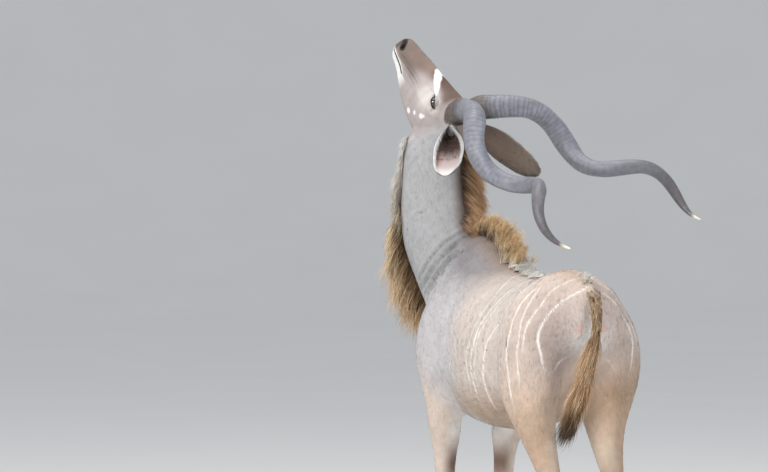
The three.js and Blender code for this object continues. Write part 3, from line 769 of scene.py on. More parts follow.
# Folds of the skin where the neck turns on the shoulder, on the left: each a line and its depth.
NECK_FOLDS = [
    [[(36, -469, 1439), (98, -464, 1410), (147, -492, 1369), (180, -533, 1311), (190, -605, 1248),
      (176, -690, 1200)], 7, 13],
    [[(76, -447, 1392), (133, -465, 1343), (167, -503, 1290), (181, -565, 1231), (178, -640, 1180)], 9, 14],
    [[(82, -385, 1380), (111, -436, 1333), (151, -472, 1280), (172, -522, 1222), (184, -580, 1170)], 8, 13],
    [[(190, -560, 1500), (196, -640, 1470), (172, -720, 1440)], 3, 12],
    [[(188, -585, 1590), (192, -660, 1570), (166, -730, 1550)], 2.5, 10],
]


def folds(p, n):
    for line, depth, wide in NECK_FOLDS:
        path = curve(np.array(line) * MM, np.linspace(0, 1, 14))
        away, along = away_from(p, path)
        fade = smooth(0, 0.16, along) * smooth(1, 0.78, along)
        groove = -np.exp(-(away / (wide * 0.55 * MM)) ** 2)
        ridge = 0.55 * np.exp(-((away - wide * 1.15 * MM) / (wide * 0.6 * MM)) ** 2)
        p = p + n * ((groove + ridge) * fade * depth * 1.25 * MM)[:, None]
    return p


def ribs(p, n):
    """The ribs show faintly behind the shoulder."""
    where = smooth(-0.26, -0.16, p[:, 1]) * smooth(0.26, 0.16, p[:, 1])
    where *= smooth(0.84, 0.94, p[:, 2]) * smooth(1.22, 1.12, p[:, 2]) * smooth(0.12, 0.2, np.abs(p[:, 0]))
    phase = (p[:, 1] + 0.35 * (p[:, 2] - 1.0)) / 0.052
    return p + n * (where * 1.3 * MM * np.sin(2 * math.pi * phase))[:, None]


print("skin: one surface")
skin = base_skin()
mesh = skin.data
points = points_of(mesh)
points = soften(points, edges_of(mesh), 110, rounds_wanted(points))
set_points(mesh, points)
n = normals_of(mesh)
points = body_form(points, n)
points = ribs(points, n)
set_points(mesh, points)
points = folds(points, normals_of(mesh))
set_points(mesh, points)

print("skin: the face", len(points))
q = to_head(points)
on_face = (q[:, 2] > 0.05) & (np.abs(q[:, 0]) < 0.13) & (q[:, 1] > -0.17) & (q[:, 1] < 0.16)
subdivide_near(mesh, on_face)
q = to_head(points_of(mesh))
left, _ = on_left(q)
ring, far, _ = lid_place(left)
fine = far < 0.042
fine |= away_from(left, NOSTRIL)[0] < 0.017
fine |= away_from(left, MOUTH)[0] < 0.012
subdivide_near(mesh, fine)
points = points_of(mesh)
near_face = smooth(0.03, 0.08, to_head(points)[:, 2])
points = soften(points, edges_of(mesh), 3, 3.0 * near_face)
set_points(mesh, points)
q = to_head(points)
flat_place = q.copy()
face_side = q[(q[:, 0] > 0) & (q[:, 2] > 0.15)]
NOSTRIL, MOUTH = laid_on(NOSTRIL, face_side), laid_on(MOUTH, face_side)
shaped = face_form(q, normals_of(mesh) @ HEAD_AXES.T)
share = smooth(0.02, 0.06, q[:, 2])[:, None]
q = q + (shaped - q) * share
left, flip = on_left(q)
q = shape_lids(left) * flip
set_points(mesh, from_head(q))
shade_smooth(mesh)


# Where each point of the body belongs, the lie of its coat and its colour.

def belonging(p):
    """Shares of each point among the body's parts, and its place along and round each."""
    found = {name: tube.nearest(p) for name, tube in parts.items()}
    weights = {}
    for name, (_, _, out) in found.items():
        weights[name] = np.exp(-((out / 0.55) ** 2)) + 1e-9
    # A leg counts only as it comes free of the trunk, and the head only before the skull's back.
    for name in legs:
        weights[name] *= smooth(0.98, 0.72, p[:, 2]) + 1e-6
    weights["torso"] *= smooth(0.66, 0.84, p[:, 2]) + 1e-9
    ahead = to_head(p)[:, 2]
    weights["head"] *= smooth(-0.03, 0.04, ahead) + 1e-9
    weights["neck"] *= smooth(1.0, 1.2, p[:, 2]) * smooth(0.12, 0.05, ahead) + 1e-9
    weights["tail"] *= ((found["tail"][2] < 1.6) & (p[:, 1] > 0.68)) * 30 + 1e-9
    total = sum(weights.values())
    return found, {name: w / total for name, w in weights.items()}


def lie_of_coat(p, n, weights, found):
    """The way the hair lies at each point, along the skin."""
    way = np.zeros_like(p)
    down_side = smooth(0.25, 0.5, p[:, 1]) * 0.9 + smooth(-0.3, -0.5, p[:, 1]) * 0.8
    on_torso = np.stack([0 * down_side, 1 - 0.55 * down_side, -0.12 - down_side], -1)
    way += on_torso * weights["torso"][:, None]
    way += -neck.tangent(found["neck"][0]) * weights["neck"][:, None]
    way += -HEAD_F * weights["head"][:, None]
    way += tail.tangent(found["tail"][0]) * weights["tail"][:, None]
    for name in legs:
        way += np.array([0, 0.12, -1.0]) * weights[name][:, None]
    way = way - n * dot(way, n)
    return unit(way)


# The pale stripes of the flank, foremost first: the distance back at each height.
STRIPE_HEIGHTS = np.array([0.80, 0.90, 1.00, 1.10, 1.17, 1.23, 1.30])
STRIPES_BACK = np.array([
    [-0.02, 0.045, 0.060, 0.088, 0.090, 0.075, 0.02],
    [0.045, 0.085, 0.110, 0.132, 0.150, 0.170, 0.20],
    [0.090, 0.115, 0.140, 0.160, 0.180, 0.205, 0.245],
    [0.140, 0.180, 0.215, 0.258, 0.300, 0.362, 0.40],
    [0.470, 0.485, 0.480, 0.472, 0.462, 0.456, 0.46],
    [0.520, 0.535, 0.542, 0.528, 0.512, 0.495, 0.49],
    [0.575, 0.570, 0.562, 0.550, 0.550, 0.560, 0.58],
    [0.630, 0.615, 0.608, 0.592, 0.594, 0.620, 0.668],
])
STRIPE_LOW = np.array([0.88, 0.84, 0.90, 0.80, 0.86, 0.92, 1.04, 0.98])
STRIPE_HIGH = np.array([1.33, 1.30, 1.30, 1.29, 1.26, 1.25, 1.30, 1.30])
STRIPE_WIDE = np.array([2.4, 3.6, 2.6, 3.8, 3.6, 2.4, 2.6, 3.0]) * MM


def stripes(p, n):
    """How much each point lies on a pale stripe, 0 to 1."""
    z = p[:, 2] + 0.004 * np.sin(31 * p[:, 1])
    most = np.zeros(len(p))
    # Where the skin turns to face backwards, a step back is a longer step along it.
    slant = np.sqrt(np.clip(1 - n[:, 1] ** 2, 0.01, 1))
    for k in range(len(STRIPES_BACK)):
        back = curve(STRIPES_BACK[k][:, None], np.interp(z, STRIPE_HEIGHTS, np.linspace(0, 1, 7)))[:, 0]
        # On the right they stand a little further apart, as no two sides are the same.
        back = back + np.where(p[:, 0] < 0, 0.012 * math.sin(2.3 * k), 0)
        back = back + 0.003 * np.sin(z * 43 + k)
        wide = STRIPE_WIDE[k] * (1 + 0.25 * np.sin(z * 29 + 2 * k))
        edge = np.abs(p[:, 1] - back) / slant
        on = smooth(wide + 3.0 * MM, wide - 1.5 * MM, edge)
        on = on * smooth(0.06, 0.12, np.abs(p[:, 0]) + (z - 1) * 0.35)
        on = on * smooth(STRIPE_LOW[k] - 0.03, STRIPE_LOW[k] + 0.05, z)
        on = on * smooth(STRIPE_HIGH[k] + 0.03, STRIPE_HIGH[k] - 0.03, z)
        most = np.maximum(most, on * (0.75 + 0.25 * (k in (1, 3, 4, 7))))
    return most


def spots(p, grain):
    """Slow, soft noise of a chosen grain, from -1 to 1."""
    total = 0
    for k, (a, b, c) in enumerate([(1, 0.7, 0.4), (-0.5, 1.1, 0.8), (0.7, -0.9, 1.2), (0.3, 1.3, -1.0)]):
        total = total + np.sin((p[..., 0] * a + p[..., 1] * b + p[..., 2] * c) / grain + 1.7 * k)
    return total / 4


def coat_colour(p, n, weights, found, flat):
    """The colour of the coat at each point, in linear numbers."""
    x, y, z = p.T
    c = tint(FLANK, len(p))
    c = mix(c, linear(SHOULDER), smooth(-0.02, -0.24, y + 0.1 * (z - 1)))
    c = mix(c, linear(HAUNCH), smooth(0.3, 0.46, y))
    c = mix(c, linear(HAUNCH_LOW), smooth(0.28, 0.42, y) * smooth(1.02, 0.8, z) * 0.9)
    c = mix(c, linear(BELLY), weights["torso"] * smooth(0.95, 0.78, z) * smooth(-0.45, -0.2, y) * 0.85)
    # Painted shade: the inner sides of the thighs and the belly's middle between them are painted darker
    # brown.
    inner = smooth(0.10, 0.05, np.abs(x)) * smooth(0.9, 0.75, z) * smooth(0.5, 0.75, z)
    c = mix(c, linear((150, 118, 92)), inner * smooth(0.0, 0.3, y) * 0.4)
    c = mix(c, linear(NECK_GREY), np.clip(weights["neck"] * 1.3, 0, 1))
    # A darker saddle lies over the shoulder blades, and a dim patch beside the tail.
    saddle = patch(p, [0.06, -0.22, 1.36], [0.20, 0.22, 0.12])
    c = mix(c, linear((96, 90, 94)), np.minimum(saddle * 1.1, 0.66))
    c = mix(c, linear((118, 104, 102)), patch(p, [0.12, 0.62, 1.08], [0.09, 0.10, 0.11]) * 0.6)
    # Warm dust along the back, darker just beside the crest.
    back = smooth(0.10, 0.03, np.abs(x)) * smooth(1.24, 1.34, z) * smooth(-0.5, -0.3, y)
    c = mix(c, linear((150, 122, 92)), back * 0.5)
    # Painted shade: the right haunch, on the side away from the lights, is painted darker and browner.
    shaded_right_haunch = smooth(0.0, 0.12, -x) * smooth(1.10, 0.85, z) * smooth(0.3, 0.5, y)
    c = mix(c, linear((146, 116, 88)), shaded_right_haunch * 0.75)
    # The legs.
    front = weights["foreleg_left"] + weights["foreleg_right"]
    hind = weights["hindleg_left"] + weights["hindleg_right"]
    c = mix(c, linear(FORELEG), np.clip(front * 1.2, 0, 1))
    c = mix(c, linear(HINDLEG), np.clip(hind * 1.2, 0, 1) * smooth(0.95, 0.7, z))
    c = mix(c, linear(SHANK), smooth(0.52, 0.38, z) * 0.9)
    # Dark garters on the inner side of the forearms, and pale patches above them.
    inside = smooth(0.15, 0.10, np.abs(x))
    c = mix(c, linear(GARTER), front * inside * np.exp(-((z - 0.56) / 0.07) ** 2) * 0.9)
    c = mix(c, linear(WHITE), front * inside * np.exp(-((z - 0.70) / 0.07) ** 2) * 0.6)
    c = mix(c, linear((206, 192, 176)), hind * inside * np.exp(-((z - 0.68) / 0.10) ** 2) * 0.55)
    c = mix(c, linear((120, 88, 64)), smooth(0.15, 0.11, z) * 0.6)
    c = mix(c, linear(WHITE), np.exp(-((z - 0.115) / 0.02) ** 2) * smooth(0.0, 0.03, -n[:, 1]) * 0.5)
    # Behind the elbow and along the tail's root it is pale.
    c = mix(c, linear(WHITE), patch(p, [0.0, -0.20, 0.76], [0.13, 0.07, 0.07]) * 0.6)
    c = mix(c, linear(WHITE), patch(p, [0.0, 0.66, 1.08], [0.075, 0.06, 0.09]) * 0.75)
    for side in (1, -1):
        spot = patch(p, [side * 0.045, 0.665, 1.125], [0.014, 0.05, 0.022])
        c = mix(c, linear((208, 170, 156)), spot * 0.8)
    # The tail is brown above and dark to its brush.
    c = mix(c, linear((164, 136, 108)), weights["tail"])
    c = mix(c, linear(WHITE), weights["tail"] * smooth(0.02, 0.0, np.abs(np.abs(x) - 0.03)) * 0.5)
    # Stripes.
    c = mix(c, linear(STRIPE), stripes(p, n) * (1 - weights["tail"]) * 0.7)
    # The dark scrapes and dots on the left flank.
    scar = away_from(p, np.array([(0.25, 0.455, 1.115), (0.25, 0.460, 1.080), (0.25, 0.468, 1.060)]))[0]
    c = mix(c, linear((96, 88, 96)), smooth(0.013, 0.003, scar + 0.004 * spots(p, 0.004)) * 0.85)
    scar = away_from(p, np.array([(0.23, 0.565, 1.07), (0.24, 0.556, 1.03)]))[0]
    c = mix(c, linear((132, 120, 122)), smooth(0.012, 0.004, scar + 0.004 * spots(p, 0.004)) * 0.5)
    for at in FLANK_DOTS:
        away = np.linalg.norm(p[:, 1:] - np.array(at), axis=1)
        c = mix(c, linear((70, 62, 60)), smooth(0.006, 0.002, away) * (x > 0) * 0.8)
    c = mix(c, face_colour(flat), np.clip(weights["head"] * 1.2, 0, 1))
    # Where the neck's long hair grows it is darker.
    t, turn, _ = found["neck"]
    ridge = weights["neck"] * smooth(0.5, 0.15, np.abs(turn - math.pi / 2))
    c = mix(c, linear(NAPE_ROOT), ridge * 0.6)
    under = weights["neck"] * smooth(0.6, 0.2, np.abs(turn + math.pi / 2)) * smooth(0.7, 0.4, t)
    c = mix(c, linear(FRINGE_ROOT), under * 0.5)
    # Painted shade in the grooves of the neck's folds.
    for line, depth, wide in NECK_FOLDS:
        path = curve(np.array(line) * MM, np.linspace(0, 1, 14))
        away, along = away_from(p, path)
        shade = smooth(wide * 0.5 * MM, 0, away) * smooth(0, 0.2, along) * smooth(1, 0.75, along)
        c = mix(c, linear((80, 66, 60)), shade * min(depth / 8, 1) * 0.9 * (1 - weights["head"]))
    # Broad and fine unevenness, as dust and wear leave.
    c = c * (1 + 0.06 * spots(p, 0.07) + 0.065 * spots(p, 0.024) + 0.05 * spots(p, 0.009))[:, None]
    return np.clip(c, 0.004, 0.95)


FLANK_DOTS = [
    (0.105, 0.985), (0.108, 0.970), (0.115, 0.955), (0.098, 0.945), (0.085, 1.02), (0.21, 0.985),
    (0.35, 0.925), (0.36, 0.912), (0.34, 0.918), (0.30, 0.93), (0.24, 1.03), (0.20, 0.89),
]

CHEVRON = curve(np.array([[2, 80, 284], [14, 76, 270], [30, 68, 248], [44, 60, 226], [60, 54, 204]]) * MM,
                np.linspace(0, 1, 13))
CHEVRON = laid_on(CHEVRON, flat_place)


def face_colour(q):
    left, _ = on_left(q)
    _, d, u = left.T
    c = tint(CHEEK, len(q))
    # The upper face is brown, from the horns to the nose.
    upper = smooth(-0.02, 0.024, d - np.interp(u, [0.20, 0.26, 0.31, 0.40], [0.080, 0.054, 0.024, -0.006]))
    c = mix(c, linear(FACE), upper * 0.95)
    c = mix(c, linear(PATCH), upper * smooth(0.17, 0.22, u) * smooth(0.30, 0.25, u) * 0.8)
    c = mix(c, linear(PATCH), smooth(0.045, 0.07, d) * smooth(0.13, 0.16, u) * smooth(0.29, 0.26, u) * 0.75)
    c = mix(c, linear(MUZZLE), smooth(0.29, 0.36, u) * smooth(-0.035, -0.01, d))
    # Darker grey streaks run down the side of the muzzle.
    streak = smooth(0.25, 0.32, u) * smooth(0.43, 0.40, u) * np.exp(-((d + 0.014) / 0.020) ** 2)
    c = mix(c, linear((88, 78, 76)), streak * (0.45 + 0.25 * np.sin(430 * d + 60 * u)))
    c = mix(c, linear((120, 104, 94)), smooth(0.38, 0.42, u) * smooth(0.00, 0.03, d) * 0.7)
    # Pale bars run from the inner corners of the eyes towards the bridge of the nose.
    away, along = away_from(left, CHEVRON)
    wide = np.interp(along, [0, 0.3, 0.8, 1], [9, 15, 10, 5.5]) * MM + 1.5 * MM * spots(q, 0.006)
    c = mix(c, linear(WHITE), smooth(wide + 3 * MM, wide - 2 * MM, away))
    # The skin round the eye is pale, most of all below it.
    for at, size, share in PALE_PLACES:
        away = np.linalg.norm(left - np.array(at) * MM, axis=1)
        c = mix(c, linear((214, 208, 204)), smooth(size * MM, size * 0.3 * MM, away) * share)
    c = mix(c, linear(NECK_GREY), smooth(0.13, 0.03, u) * smooth(0.07, 0.0, d) * 0.8)
    # Spots on the brow and cheeks.
    for at, size in FACE_SPOTS:
        away = np.linalg.norm(left - np.array(at) * MM, axis=1)
        c = mix(c, linear(WHITE), smooth((size + 4) * MM, (size - 3) * MM, away) * 0.92)
    # Lips and chin.
    mouth, along = away_from(left, MOUTH)
    above = smooth(-1 * MM, 2 * MM, d - np.interp(u, [0.356, 0.42, 0.462], [-0.057, -0.040, -0.037]))
    c = mix(c, linear(WHITE), above * smooth(12 * MM, 6 * MM, mouth) * smooth(0.33, 0.37, u) * 0.85)
    below = (1 - above) * smooth(0.30, 0.36, u)
    c = mix(c, linear(WHITE), below * 0.9)
    c = mix(c, linear(DARK), smooth(5.4 * MM, 3.2 * MM, mouth) * 0.97)
    nostril, _ = away_from(left, NOSTRIL)
    c = mix(c, linear((52, 44, 42)), smooth(15 * MM, 9 * MM, nostril) * 0.85)
    c = mix(c, linear((10, 8, 8)), smooth(9.5 * MM, 6.5 * MM, nostril))
    bare = smooth(0.438, 0.452, u) * smooth(-0.034, -0.022, d)
    c = mix(c, linear((62, 52, 50)), bare * 0.85)
    # The dark rims of the eyes and the line that runs on from the inner corner.
    ring, far, _ = lid_place(left)
    c = mix(c, linear((28, 22, 20)), smooth(1.42, 1.1, ring) * (far < 0.04))
    tear = away_from(left, np.array([[58, 50, 198], [54, 42, 214], [50, 34, 228]]) * MM)[0]
    c = mix(c, linear((40, 32, 28)), smooth(4.5 * MM, 1.5 * MM, tear) * 0.2)
    # Bare wrinkled skin between the horn and the ear, and around the horn.
    base = np.linalg.norm(left - np.array([70, 116, 90]) * MM, axis=1)
    c = mix(c, linear((150, 138, 128)), smooth(0.085, 0.06, base) * 0.5)
    c = mix(c, linear((92, 78, 68)), smooth(0.055, 0.042, base) * 0.7)
    c = mix(c, linear((170, 160, 150)), smooth(0.07, 0.03, u) * smooth(0.02, -0.02, d) * 0.2)
    # The throat behind the jaw has pale tufts.
    c = mix(c, linear(WHITE), smooth(0.14, 0.05, u) * smooth(-0.09, -0.12, d) * 0.5)
    return c


FACE_SPOTS = [
    ((76, 73, 169), 7), ((70, -66, 188), 8), ((84, -40, 158), 9), ((52, -100, 216), 11), ((82, -30, 152), 6),
]
# Soft pale places round the eye and on the cheek: the middle, the size and the share of each.
PALE_PLACES = [
    ((70, 18, 212), 74, 0.5), ((80, 62, 170), 24, 0.7), ((79, 78, 160), 22, 0.85), ((75, 90, 148), 18, 0.85),
    ((86, 20, 150), 30, 0.4),
]

print("skin: colours")
points, n = points_of(mesh), normals_of(mesh)
found, weights = belonging(points)
lie = lie_of_coat(points, n, weights, found)
skin_colour = coat_colour(points, n, weights, found, flat_place)


def unwrap_at(name, t, turn):
    """The place on the unwrap of a share along and a turn round a part."""
    low_u, low_v, wide, high = UNWRAP[name]
    return np.stack([low_u + wide * (turn / (2 * math.pi) + 0.5), low_v + high * t], -1)


def part_index(weights):
    return np.argmax(np.stack([weights[name] for name in PART_NAMES]), axis=0)


def unwrap_skin(mesh, found, weights):
    """Each face goes to one part's island, and its corners stay on one side of the island's seam."""
    corners = np.empty(len(mesh.loops), np.int32)
    mesh.loops.foreach_get("vertex_index", corners)
    totals = np.empty(len(mesh.polygons), np.int32)
    mesh.polygons.foreach_get("loop_total", totals)
    starts = np.empty(len(mesh.polygons), np.int32)
    mesh.polygons.foreach_get("loop_start", starts)
    face_of = np.repeat(np.arange(len(totals)), totals)
    first = corners[starts][face_of]
    owner = part_index(weights)[first]
    uv = np.zeros((len(corners), 2))
    for k, name in enumerate(PART_NAMES):
        t, turn, _ = found[name]
        mine = owner == k
        here, base = turn[corners[mine]], turn[first[mine]]
        here = here + 2 * math.pi * np.round((base - here) / (2 * math.pi))
        uv[mine] = unwrap_at(name, t[corners[mine]], np.clip(here, -math.pi, math.pi))
    layer = mesh.uv_layers.new(name="OFBake")
    layer.data.foreach_set("uv", uv.astype(np.float32).ravel())


paint(mesh, "coat", skin_colour)
# Which way the fine grain of the coat runs: along the body, up and down, or along the head.
mark(mesh, "lies_along", np.clip(weights["torso"] * (1 - 0.9 * smooth(0.3, 0.5, points[:, 1])), 0, 1))
mark(mesh, "on_head", np.clip(weights["head"], 0, 1))
left_now = on_left(flat_place)[0]
ring_now, far_now, _ = lid_place(left_now)
bare_nose = smooth(0.436, 0.45, left_now[:, 2]) * smooth(-0.034, -0.022, left_now[:, 1])
mark(mesh, "wet", np.maximum(smooth(1.12, 0.98, ring_now) * (far_now < 0.03), bare_nose * 0.5))
unwrap_skin(mesh, found, weights)


# Materials.

def new_material(name):
    material = bpy.data.materials.new(name)
    material.use_nodes = True
    tree = material.node_tree
    shader = next(x for x in tree.nodes if x.type == "BSDF_PRINCIPLED")
    return material, tree, shader


def node(tree, kind, **values):
    made = tree.nodes.new(kind)
    for key, value in values.items():
        if hasattr(made, key):
            setattr(made, key, value)
        else:
            made.inputs[key].default_value = value
    return made


def math_node(tree, operation, a, b=None):
    made = tree.nodes.new("ShaderNodeMath")
    made.operation = operation
    for socket, value in zip(made.inputs, (a, b)):
        if value is None:
            continue
        if isinstance(value, (int, float)):
            socket.default_value = value
        else:
            tree.links.new(value, socket)
    return made.outputs[0]


def mapped_noise(tree, source, scale, grain, detail=3.0):
    """Noise in the object's own frame, drawn out along one way by its scale."""
    mapping = node(tree, "ShaderNodeMapping")
    mapping.inputs["Scale"].default_value = scale
    tree.links.new(source, mapping.inputs["Vector"])
    noise = node(tree, "ShaderNodeTexNoise")
    noise.inputs["Scale"].default_value = grain
    noise.inputs["Detail"].default_value = detail
    tree.links.new(mapping.outputs[0], noise.inputs["Vector"])
    return noise.outputs[0]


def shade_colour(tree, shader, colour, tone):
    """The shader's colour is a colour made lighter or darker by a tone."""
    scaled = node(tree, "ShaderNodeVectorMath", operation="SCALE")
    tree.links.new(colour, scaled.inputs[0])
    tree.links.new(tone, scaled.inputs["Scale"])
    tree.links.new(scaled.outputs[0], shader.inputs["Base Color"])


def add_bump(tree, shader, height, strength, distance):
    bump = node(tree, "ShaderNodeBump")
    bump.inputs["Strength"].default_value = strength
    bump.inputs["Distance"].default_value = distance
    tree.links.new(height, bump.inputs["Height"])
    tree.links.new(bump.outputs[0], shader.inputs["Normal"])


def colour_ramp(tree, value, stops):
    """A ramp through stops, each a place and a linear colour, read at a value."""
    ramp = node(tree, "ShaderNodeValToRGB")
    for k, (place, colour) in enumerate(stops):
        stop = ramp.color_ramp.elements[k] if k < 2 else ramp.color_ramp.elements.new(place)
        stop.position = place
        stop.color = (*colour, 1)
    tree.links.new(value, ramp.inputs[0])
    return ramp.outputs[0]


def coat_material(name, streak, rough, bump_depth, fuzz):
    """A short coat: colour from the body, streaked along the lie, with a bump of fine hair."""
    material, tree, shader = new_material(name)
    colour = node(tree, "ShaderNodeAttribute", attribute_name="coat")
    place = node(tree, "ShaderNodeTexCoord").outputs["Object"]
    along = node(tree, "ShaderNodeAttribute", attribute_name="lies_along").outputs["Fac"]
    on_head = node(tree, "ShaderNodeAttribute", attribute_name="on_head").outputs["Fac"]
    wet = node(tree, "ShaderNodeAttribute", attribute_name="wet").outputs["Fac"]
    level = mapped_noise(tree, place, (1.0, 0.16, 1.0), 420)
    upright = mapped_noise(tree, place, (1.0, 1.0, 0.14), 460)
    face = mapped_noise(tree, place, (1.0, 1.0, 0.45), 700)
    grain = math_node(tree, "MULTIPLY", math_node(tree, "SUBTRACT", level, upright), along)
    grain = math_node(tree, "ADD", grain, upright)
    face_step = math_node(tree, "MULTIPLY", math_node(tree, "SUBTRACT", face, grain), on_head)
    grain = math_node(tree, "ADD", grain, face_step)
    soft = mapped_noise(tree, place, (1.0, 1.0, 1.0), 34, 5.0)
    light = math_node(tree, "MULTIPLY", math_node(tree, "SUBTRACT", grain, 0.5), streak)
    cloudy = math_node(tree, "MULTIPLY", math_node(tree, "SUBTRACT", soft, 0.5), 0.22)
    tone = math_node(tree, "ADD", math_node(tree, "ADD", light, cloudy), 1.0)
    shade_colour(tree, shader, colour.outputs["Color"], tone)
    roughness = math_node(tree, "SUBTRACT", rough, math_node(tree, "MULTIPLY", wet, 0.45))
    tree.links.new(roughness, shader.inputs["Roughness"])
    add_bump(tree, shader, grain, 0.55, bump_depth)
    shader.inputs["Specular IOR Level"].default_value = 0.25
    shader.inputs["Sheen Weight"].default_value = fuzz
    shader.inputs["Sheen Roughness"].default_value = 0.5
    return material


def hair_material(name, rough=0.55, fuzz=0.0, streak=0.3):
    """Hair of the coat: colour along each strand, uneven from strand to strand."""
    material, tree, shader = new_material(name)
    colour = node(tree, "ShaderNodeAttribute", attribute_name="coat")
    place = node(tree, "ShaderNodeTexCoord").outputs["Object"]
    noise = mapped_noise(tree, place, (1.0, 1.0, 1.0), 180, 2.0)
    uneven = math_node(tree, "MULTIPLY", math_node(tree, "SUBTRACT", noise, 0.5), streak)
    shade_colour(tree, shader, colour.outputs["Color"], math_node(tree, "ADD", uneven, 1.0))
    shader.inputs["Roughness"].default_value = rough
    shader.inputs["Specular IOR Level"].default_value = 0.3
    shader.inputs["Sheen Weight"].default_value = fuzz
    return material


skin_material = coat_material("short_coat", 0.46, 0.76, 0.0018, 0.10)
fur_material = hair_material("fur_tufts", 0.72, 0.12)
mane_material = hair_material("long_hair", 0.5)


def finish_piece(obj, material, nodes=()):
    """Moves a piece to the frame of the solids, gives it its material, hangs it under the root and hides the
    nodes it stands for, if any are given.
    """
    set_points(obj.data, points_of(obj.data) + OFFSET)
    obj.data.materials.clear()
    obj.data.materials.append(material)
    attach(obj, "root")
    if nodes:
        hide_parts(*nodes)


# Horns.

HORN_BASE = np.array([59, 94, 109]) * MM
HORN_LENGTH = 958 * MM
HORN_TILT, HORN_SPLAY = math.radians(27.8), math.radians(22.6)
HORN_COIL = np.array([55, 44]) * MM
HORN_TURNS, HORN_START, HORN_PACING = 1.876, math.radians(-103.4), 1.156
HORN_RADIUS = np.array([43, 41, 39, 38, 37, 34, 30, 27, 25, 21, 14, 3]) * MM
HORN_KEEL = 0.16
# Middles of the root that runs down into the skull, deepest first.
HORN_ROOT = [(26, 24, 84), (40, 58, 88), (56, 92, 92)]


def horn_angle(t):
    return HORN_START + 2 * math.pi * HORN_TURNS * np.maximum(t, 0) ** HORN_PACING


def horn_middle(t):
    axis = np.array([
        math.sin(HORN_SPLAY),
        math.sin(HORN_TILT) * math.cos(HORN_SPLAY),
        -math.cos(HORN_TILT) * math.cos(HORN_SPLAY),
    ])
    front = np.array([0, math.cos(HORN_TILT), math.sin(HORN_TILT)])
    outer = unit(np.cross(axis, front))

    def line(s):
        angle = horn_angle(s)[:, None]
        radius = (HORN_COIL[0] + (HORN_COIL[1] - HORN_COIL[0]) * s)[:, None]
        return axis * HORN_LENGTH * s[:, None] + radius * (front * np.cos(angle) + outer * np.sin(angle))

    return HORN_BASE + line(np.asarray(t, float)) - line(np.zeros(1))


def horn_path():
    """The horn's middle from deep in the skull to its tip, and the share of its length at each point."""
    t = np.linspace(0, 1, 381)
    # The horn rises out of the skull in a bend, without a step where the coil begins.
    join = 0.035
    knots = [np.array(at) * MM for at in HORN_ROOT] + [horn_middle([share])[0] for share in (join, 0.05)]
    bend = curve(knots, np.linspace(0, 0.75, 25)[:-1])
    t = t[t >= join]
    path = np.vstack([bend, horn_middle(t)])
    shares = np.concatenate([np.linspace(-0.06, join, 24, endpoint=False), t])
    for _ in range(6):
        path[1:-1] = np.where((shares[1:-1] < 0.07)[:, None], (path[:-2] + path[2:]) / 2, path[1:-1])
    return path, shares


def make_horn(name, side):
    sides = 52
    path, shares = horn_path()
    along = unit(np.gradient(path, axis=0))
    first = unit(np.cross(np.array([0, 1, 0.5]), along))
    second = np.cross(along, first)
    radius = curve(HORN_RADIUS[:, None], np.maximum(shares, 0))[:, 0]
    radius = radius * (1 - 0.2 * smooth(0, -0.06, shares))
    turn = np.linspace(0, 2 * math.pi, sides, endpoint=False)[None, :]
    s = np.maximum(shares, 0)[:, None]
    keel = np.maximum(0, np.cos(turn - horn_angle(shares)[:, None])) ** 6
    second_keel = np.maximum(0, np.cos(turn - horn_angle(shares)[:, None] - math.pi)) ** 8
    # Uneven rings of growth, strongest near the base and on the keel, and gone before the tip.
    wave = 2 * math.pi * 62 * s**0.9 + 1.2 * np.sin(turn + 9 * s) + 0.7 * np.sin(3 * turn)
    rings = np.sin(wave + 0.9 * np.sin(0.37 * wave))
    strength = 0.013 * smooth(0.62, 0.02, s) * (0.55 + 0.8 * keel)
    grooves = 0.012 * np.sin(9 * turn + 14 * s) * smooth(0.9, 0.3, s)
    dents = 0.012 * np.sin(5 * turn - 33 * s) * np.sin(21 * s + turn)
    reach = radius[:, None] * (1 + HORN_KEEL * keel + 0.04 * second_keel + strength * rings + grooves + dents)
    reach -= 0.2 * MM
    rings_at = path[:, None] + reach[..., None] * (
        first[:, None] * np.cos(turn)[..., None] + second[:, None] * np.sin(turn)[..., None]
    )
    rings_at[..., 0] *= side
    points, faces = closed_rings(rings_in_body(rings_at))
    if side < 0:
        faces = [f[::-1] for f in faces]
    obj = new_object("shell_" + name, points, faces)
    # Dark at the base and along the hollows, bone-coloured and smooth at the tip. Between them the horn's own
    # grey takes a painted blue-grey reflection of the sky, strongest on the keel.
    ground = linear((84, 76, 72)) * (1 + 0 * s)[..., None] + 0 * reach[..., None]
    ground = mix(ground, linear((122, 124, 134)), smooth(0.035, 0.09, s) * (0.75 + 0.25 * keel))
    ground = mix(ground, linear((84, 78, 78)), smooth(0.55, 0.9, s) * 0.8 + 0 * reach)
    ground = mix(ground, linear((222, 216, 196)), smooth(0.955, 0.985, s) + 0 * reach)
    ground = ground * (1 + 0.17 * smooth(0.7, 0.1, s) * rings)[..., None]
    ground = np.clip(ground, 0.01, 0.9).reshape(-1, 3)
    paint(obj.data, "coat", np.vstack([ground, ground[:1], ground[-1:]]))
    mark(obj.data, "tip", np.concatenate([np.repeat(smooth(0.9, 0.97, s)[:, 0], sides), [0, 1]]))
    shade_smooth(obj.data)
    finish_piece(obj, horn_material, [name])


